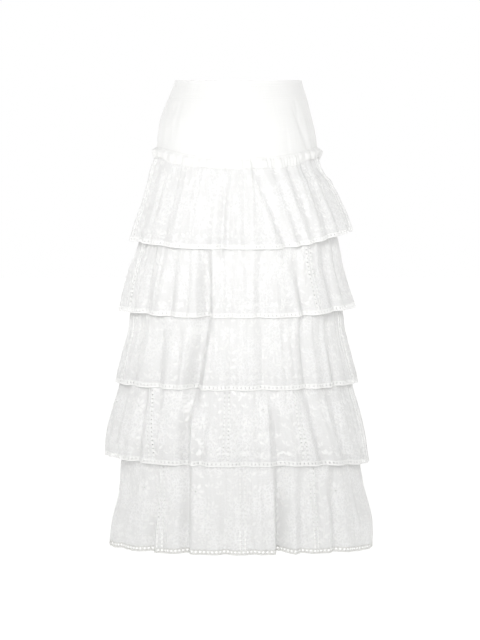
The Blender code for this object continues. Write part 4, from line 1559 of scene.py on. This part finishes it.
@dataclass
class BackZip:
    """Concealed zip at the centre back: tapes and teeth inside, slider and pull tab outside."""

    finishes: Finishes
    tape_inset: float = 2.45
    tape_degrees: float = 6.9
    tape_wall: float = 0.7
    tooth_pitch: float = 1.8
    slider_size: tuple[float, float, float] = (4.6, 8.0, 2.4)
    slider_drop: float = 8.0
    bridge_rise: float = 2.4
    arch_radius: float = 2.7
    pull_length: float = 23.0
    pull_wall: float = 1.1
    pull_top: float = 5.0
    pull_round: float = 3.2
    pull_window: tuple[float, float] = (2.6, 3.9)
    pull_tilt: float = -5.5

    def tape_form(self, first: float, last: float) -> ClothForm:
        """The outer face of one tape, inside the band and yoke."""
        angles = np.radians(np.linspace(first, last, 9))
        top, low = WAIST_TOP.at(angles) - 4, YOKE_HEM.at(angles) + 4
        heights = top + (low - top) * np.linspace(0, 1, 40)[:, None]
        angles = np.broadcast_to(angles, heights.shape)
        return ClothForm(in_space(angles, outline_radius(BODY, heights, angles) - self.tape_inset, heights))

    def build(self) -> None:
        """Makes the tapes, the teeth, the slider and the pull tab."""
        gap = 0.1
        for label, first, last in (("left", 180 - self.tape_degrees, 180 - gap), ("right", 180 + gap, 180 + self.tape_degrees)):
            form = self.tape_form(first, last)
            name = f"zip_tape_{label}"
            tape = cloth_shell(name + "_cloth", form, self.tape_wall, set(), len(form.up))
            dress(tape, self.finishes.tape, Body.SKIRT, Slot.TAPE, name)
            teeth = self.teeth(name, form, label == "left")
        self.slider()
        self.pull()

    def teeth(self, name: str, form: ClothForm, at_end: bool) -> bpy.types.Object:
        """The half of the teeth that one tape carries, on its inner face."""
        work = RaisedWork()
        up = np.arange(6, form.length - 3, self.tooth_pitch) + (0 if at_end else self.tooth_pitch / 2)
        along = form.width - 1.4 if at_end else 1.4
        work.bars(np.stack(np.broadcast_arrays(along, up, 0.0, 2.6, 1.2, -2.0), axis=-1))
        piece = work.piece(name + "_teeth", form)
        piece.data.flip_normals()
        return dress(piece, self.finishes.metal, Body.SKIRT, Slot.METAL)

    def seat(self) -> Matrix:
        """The zip's own frame: across, down the band and out of it, from the waist's top edge."""
        back = math.pi
        top, low = (outline_radius(BODY, line.at(np.array([back])), np.array([back]))[0] for line in (WAIST_TOP, BAND_SEAM))
        lean = math.atan2(low - top, WAIST_TOP.back - BAND_SEAM.back)
        place = Matrix.Translation(Vector((0, top, 0)) * MM)
        return place @ Euler((lean - math.pi / 2, 0, 0)).to_matrix().to_4x4()

    def settle(self, piece: bpy.types.Object, place: Matrix) -> None:
        """Moves a finished piece's mesh to its place, and leaves its object at the origin."""
        piece.data.transform(place)
        piece.matrix_world = Matrix.Identity(4)
        soften(piece, 35)

    def slider(self) -> None:
        """A rounded body that narrows downwards, with a spun arch that the pull passes under."""
        deselect()
        width, length, height = (size * MM for size in self.slider_size)
        bpy.ops.mesh.primitive_cube_add(size=1, location=(0, 0, 0))
        body = bpy.context.object
        body.name = "zip_slider_body"
        bpy.ops.transform.resize(value=(width, length, height))
        bpy.ops.object.transform_apply(location=True, rotation=True, scale=True)
        for vertex in body.data.vertices:
            if vertex.co.y > 0:
                vertex.co.x *= 0.72
        edge = body.modifiers.new("rounded", "BEVEL")
        edge.width = 0.5 * MM
        edge.segments = 3
        apply_modifiers(body)
        place = self.seat() @ Matrix.Translation(Vector((0, self.slider_drop, SEAM_GAP + self.slider_size[2] / 2)) * MM)
        self.settle(body, place)
        dress(body, self.finishes.metal, Body.SKIRT, Slot.METAL, "zip_slider")

        deselect()
        bpy.ops.mesh.primitive_plane_add(size=1, location=(0, self.arch_radius * MM, 0), rotation=(0, 0, 0))
        arch = bpy.context.object
        arch.name = "zip_slider_arch"
        bpy.ops.transform.resize(value=(1.5 * MM, 0.9 * MM, 1))
        bpy.ops.object.transform_apply(location=True, rotation=True, scale=True)
        bpy.ops.object.mode_set(mode="EDIT")
        bpy.ops.mesh.select_all(action="SELECT")
        bpy.ops.mesh.spin(steps=14, angle=-math.pi, center=(0, 0, 0), axis=(1, 0, 0))
        bpy.ops.object.mode_set(mode="OBJECT")
        self.close(arch)
        place = self.seat() @ Matrix.Translation(Vector((0, self.slider_drop, SEAM_GAP + self.slider_size[2] - 0.15)) * MM)
        self.settle(arch, place)
        dress(arch, self.finishes.metal, Body.SKIRT, Slot.METAL)

    def close(self, piece: bpy.types.Object) -> None:
        """Caps a spun shape and turns its faces outwards."""
        shape = bmesh.new()
        shape.from_mesh(piece.data)
        bmesh.ops.remove_doubles(shape, verts=shape.verts, dist=1e-6)
        bmesh.ops.holes_fill(shape, edges=[e for e in shape.edges if e.is_boundary], sides=0)
        bmesh.ops.recalc_face_normals(shape, faces=shape.faces)
        shape.to_mesh(piece.data)
        shape.free()

    def pull(self) -> None:
        """A flat drop with a window at its top and a shallow dish where the finger holds it."""
        deselect()
        half = self.pull_wall / 2 * MM
        end = (self.pull_length - self.pull_round) * MM
        bpy.ops.mesh.primitive_circle_add(vertices=32, radius=self.pull_round * MM, fill_type="NGON", location=(0, end, -half))
        tab = bpy.context.object
        tab.name = "zip_pull_tab"
        bpy.ops.object.transform_apply(location=True, rotation=True, scale=True)
        bpy.ops.object.mode_set(mode="EDIT")
        bpy.ops.mesh.select_all(action="SELECT")
        bpy.ops.mesh.extrude_region_move(TRANSFORM_OT_translate={"value": (0, 0, 2 * half)})
        bpy.ops.object.mode_set(mode="OBJECT")
        for vertex in tab.data.vertices:
            if vertex.co.y < end - 0.1 * MM:
                side = 1 if vertex.co.x > 0 else -1
                straight = abs(vertex.co.x) / (self.pull_round * MM)
                vertex.co.x = side * self.pull_top / 2 * MM * min(1.0, 0.5 + straight / 2)
                vertex.co.y = -half
        self.close(tab)
        self.cut(tab, self.window_cutter(half))
        edge = tab.modifiers.new("rounded", "BEVEL")
        edge.width = 0.18 * MM
        edge.segments = 2
        edge.limit_method = "ANGLE"
        apply_modifiers(tab)
        self.cut(tab, self.dish(end, half))
        rise = SEAM_GAP + self.slider_size[2] + self.bridge_rise / 2
        hinge = Matrix.Translation(Vector((0, self.slider_drop, rise)) * MM)
        self.settle(tab, self.seat() @ hinge @ Matrix.Rotation(math.radians(self.pull_tilt), 4, "X"))
        dress(tab, self.finishes.metal, Body.PULL, Slot.METAL, "zip_pull")

    def cut(self, piece: bpy.types.Object, cutter: bpy.types.Object) -> None:
        """Takes a cutter's form out of a piece."""
        modifier = piece.modifiers.new("cut", "BOOLEAN")
        modifier.operation = "DIFFERENCE"
        modifier.object = cutter
        apply_modifiers(piece)
        bpy.data.objects.remove(cutter)

    def dish(self, end: float, half: float) -> bpy.types.Object:
        """A low ball that hollows the drop's outer face."""
        deselect()
        bpy.ops.mesh.primitive_uv_sphere_add(segments=24, ring_count=12, radius=2.0 * MM, location=(0, end, half + 1.72 * MM))
        ball = bpy.context.object
        bpy.ops.object.transform_apply(location=True, rotation=True, scale=True)
        return ball

    def window_cutter(self, half: float) -> bpy.types.Object:
        """A block that cuts the window through the tab."""
        wide, far = self.pull_window
        near = half / MM
        deselect()
        bpy.ops.mesh.primitive_cube_add(size=1, location=(0, (near + far) / 2 * MM, 0))
        block = bpy.context.object
        bpy.ops.transform.resize(value=(wide * MM, (far - near) * MM, 4 * half))
        bpy.ops.object.transform_apply(location=True, rotation=True, scale=True)
        return block


@dataclass
class Studio:
    """A pale floor, soft lights and the camera at the photograph's viewing angle."""

    floor_height: float = -1.36
    camera_place: tuple[float, float, float] = (0.002, -6.0, -0.25)
    camera_aim: tuple[float, float, float] = (0.002, 0.0, -0.478)
    picture_height: float = 1.28
    sensor: float = 36.0
    zenith: float = 0.52
    light_size: float = 1.1
    light_spread: float = 38.0
    light_aim: tuple[float, float, float] = (0.0, 0.0, -0.22)
    key_power: float = 2.6
    back_power: float = 1.2

    def build(self) -> None:
        """Makes the whole studio."""
        bpy.context.scene.view_settings.view_transform = "Standard"
        self.floor()
        self.sky()
        self.light("key_light", (-0.25, -2.4, 0.35), self.key_power)
        self.light("back_light_left", (1.5, 1.9, 0.35), self.back_power)
        self.light("back_light_right", (-1.5, 1.9, 0.35), self.back_power)
        self.camera()

    def floor(self) -> None:
        """A wide level floor, well below the hem."""
        deselect()
        bpy.ops.mesh.primitive_circle_add(vertices=96, radius=40, fill_type="NGON", location=(0, 0, self.floor_height))
        floor = bpy.context.object
        floor.name = "studio_floor"
        floor.data.materials.append(StudioPaint().build())

    def sky(self) -> None:
        """White light from all round, dimmer overhead."""
        world = bpy.data.worlds.new("white_studio")
        bpy.context.scene.world = world
        world.use_nodes = True
        world.node_tree.nodes.clear()
        way = add_node(world.node_tree, "ShaderNodeTexCoord").outputs["Generated"]
        height = add_node(world.node_tree, "ShaderNodeSeparateXYZ", {0: way}).outputs[2]
        fade = {"Value": height, "From Min": 0.3, "From Max": 0.75, "To Min": 1.0, "To Max": self.zenith}
        strength = add_node(world.node_tree, "ShaderNodeMapRange", fade).outputs[0]
        back = add_node(world.node_tree, "ShaderNodeBackground", {"Color": (1.0, 1.0, 1.0, 1.0), "Strength": strength}).outputs[0]
        add_node(world.node_tree, "ShaderNodeOutputWorld", {"Surface": back})

    def light(self, name: str, place: tuple[float, float, float], power: float) -> None:
        """Adds a square soft light with a grid, which lights the hips more than the hem.

        Args:
            name: The light's name.
            place: Where it stands, in metres.
            power: Its power, in watts.
        """
        lamp = bpy.data.lights.new(name, "AREA")
        lamp.size = self.light_size
        lamp.spread = math.radians(self.light_spread)
        lamp.energy = power
        holder = bpy.data.objects.new(name, lamp)
        holder.location = place
        holder.rotation_euler = (Vector(self.light_aim) - Vector(place)).to_track_quat("-Z", "Y").to_euler()
        bpy.context.scene.collection.objects.link(holder)

    def camera(self) -> None:
        """A long lens level with the hips, which takes in the whole length."""
        lens = bpy.data.cameras.new("camera")
        camera = bpy.data.objects.new("camera", lens)
        away = Vector(self.camera_aim) - Vector(self.camera_place)
        lens.sensor_width = self.sensor
        lens.lens = self.sensor * away.length / self.picture_height
        camera.location = self.camera_place
        camera.rotation_euler = away.to_track_quat("-Z", "Y").to_euler()
        bpy.context.scene.collection.objects.link(camera)
        bpy.context.scene.camera = camera


def main() -> None:
    """Dresses the frame from the waist down."""
    logging.basicConfig(level=logging.INFO, format="%(name)s: %(message)s")
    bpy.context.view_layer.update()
    Studio().build()
    finishes = Finishes.make()
    FittedTop(finishes).build()
    Frill(finishes).build()
    above = None
    for number, cut in enumerate(TIERS, 1):
        above = TierForm(cut, above)
        Tier(above, finishes, number).build()
    BackZip(finishes).build()


if __name__ == "__main__":
    main()
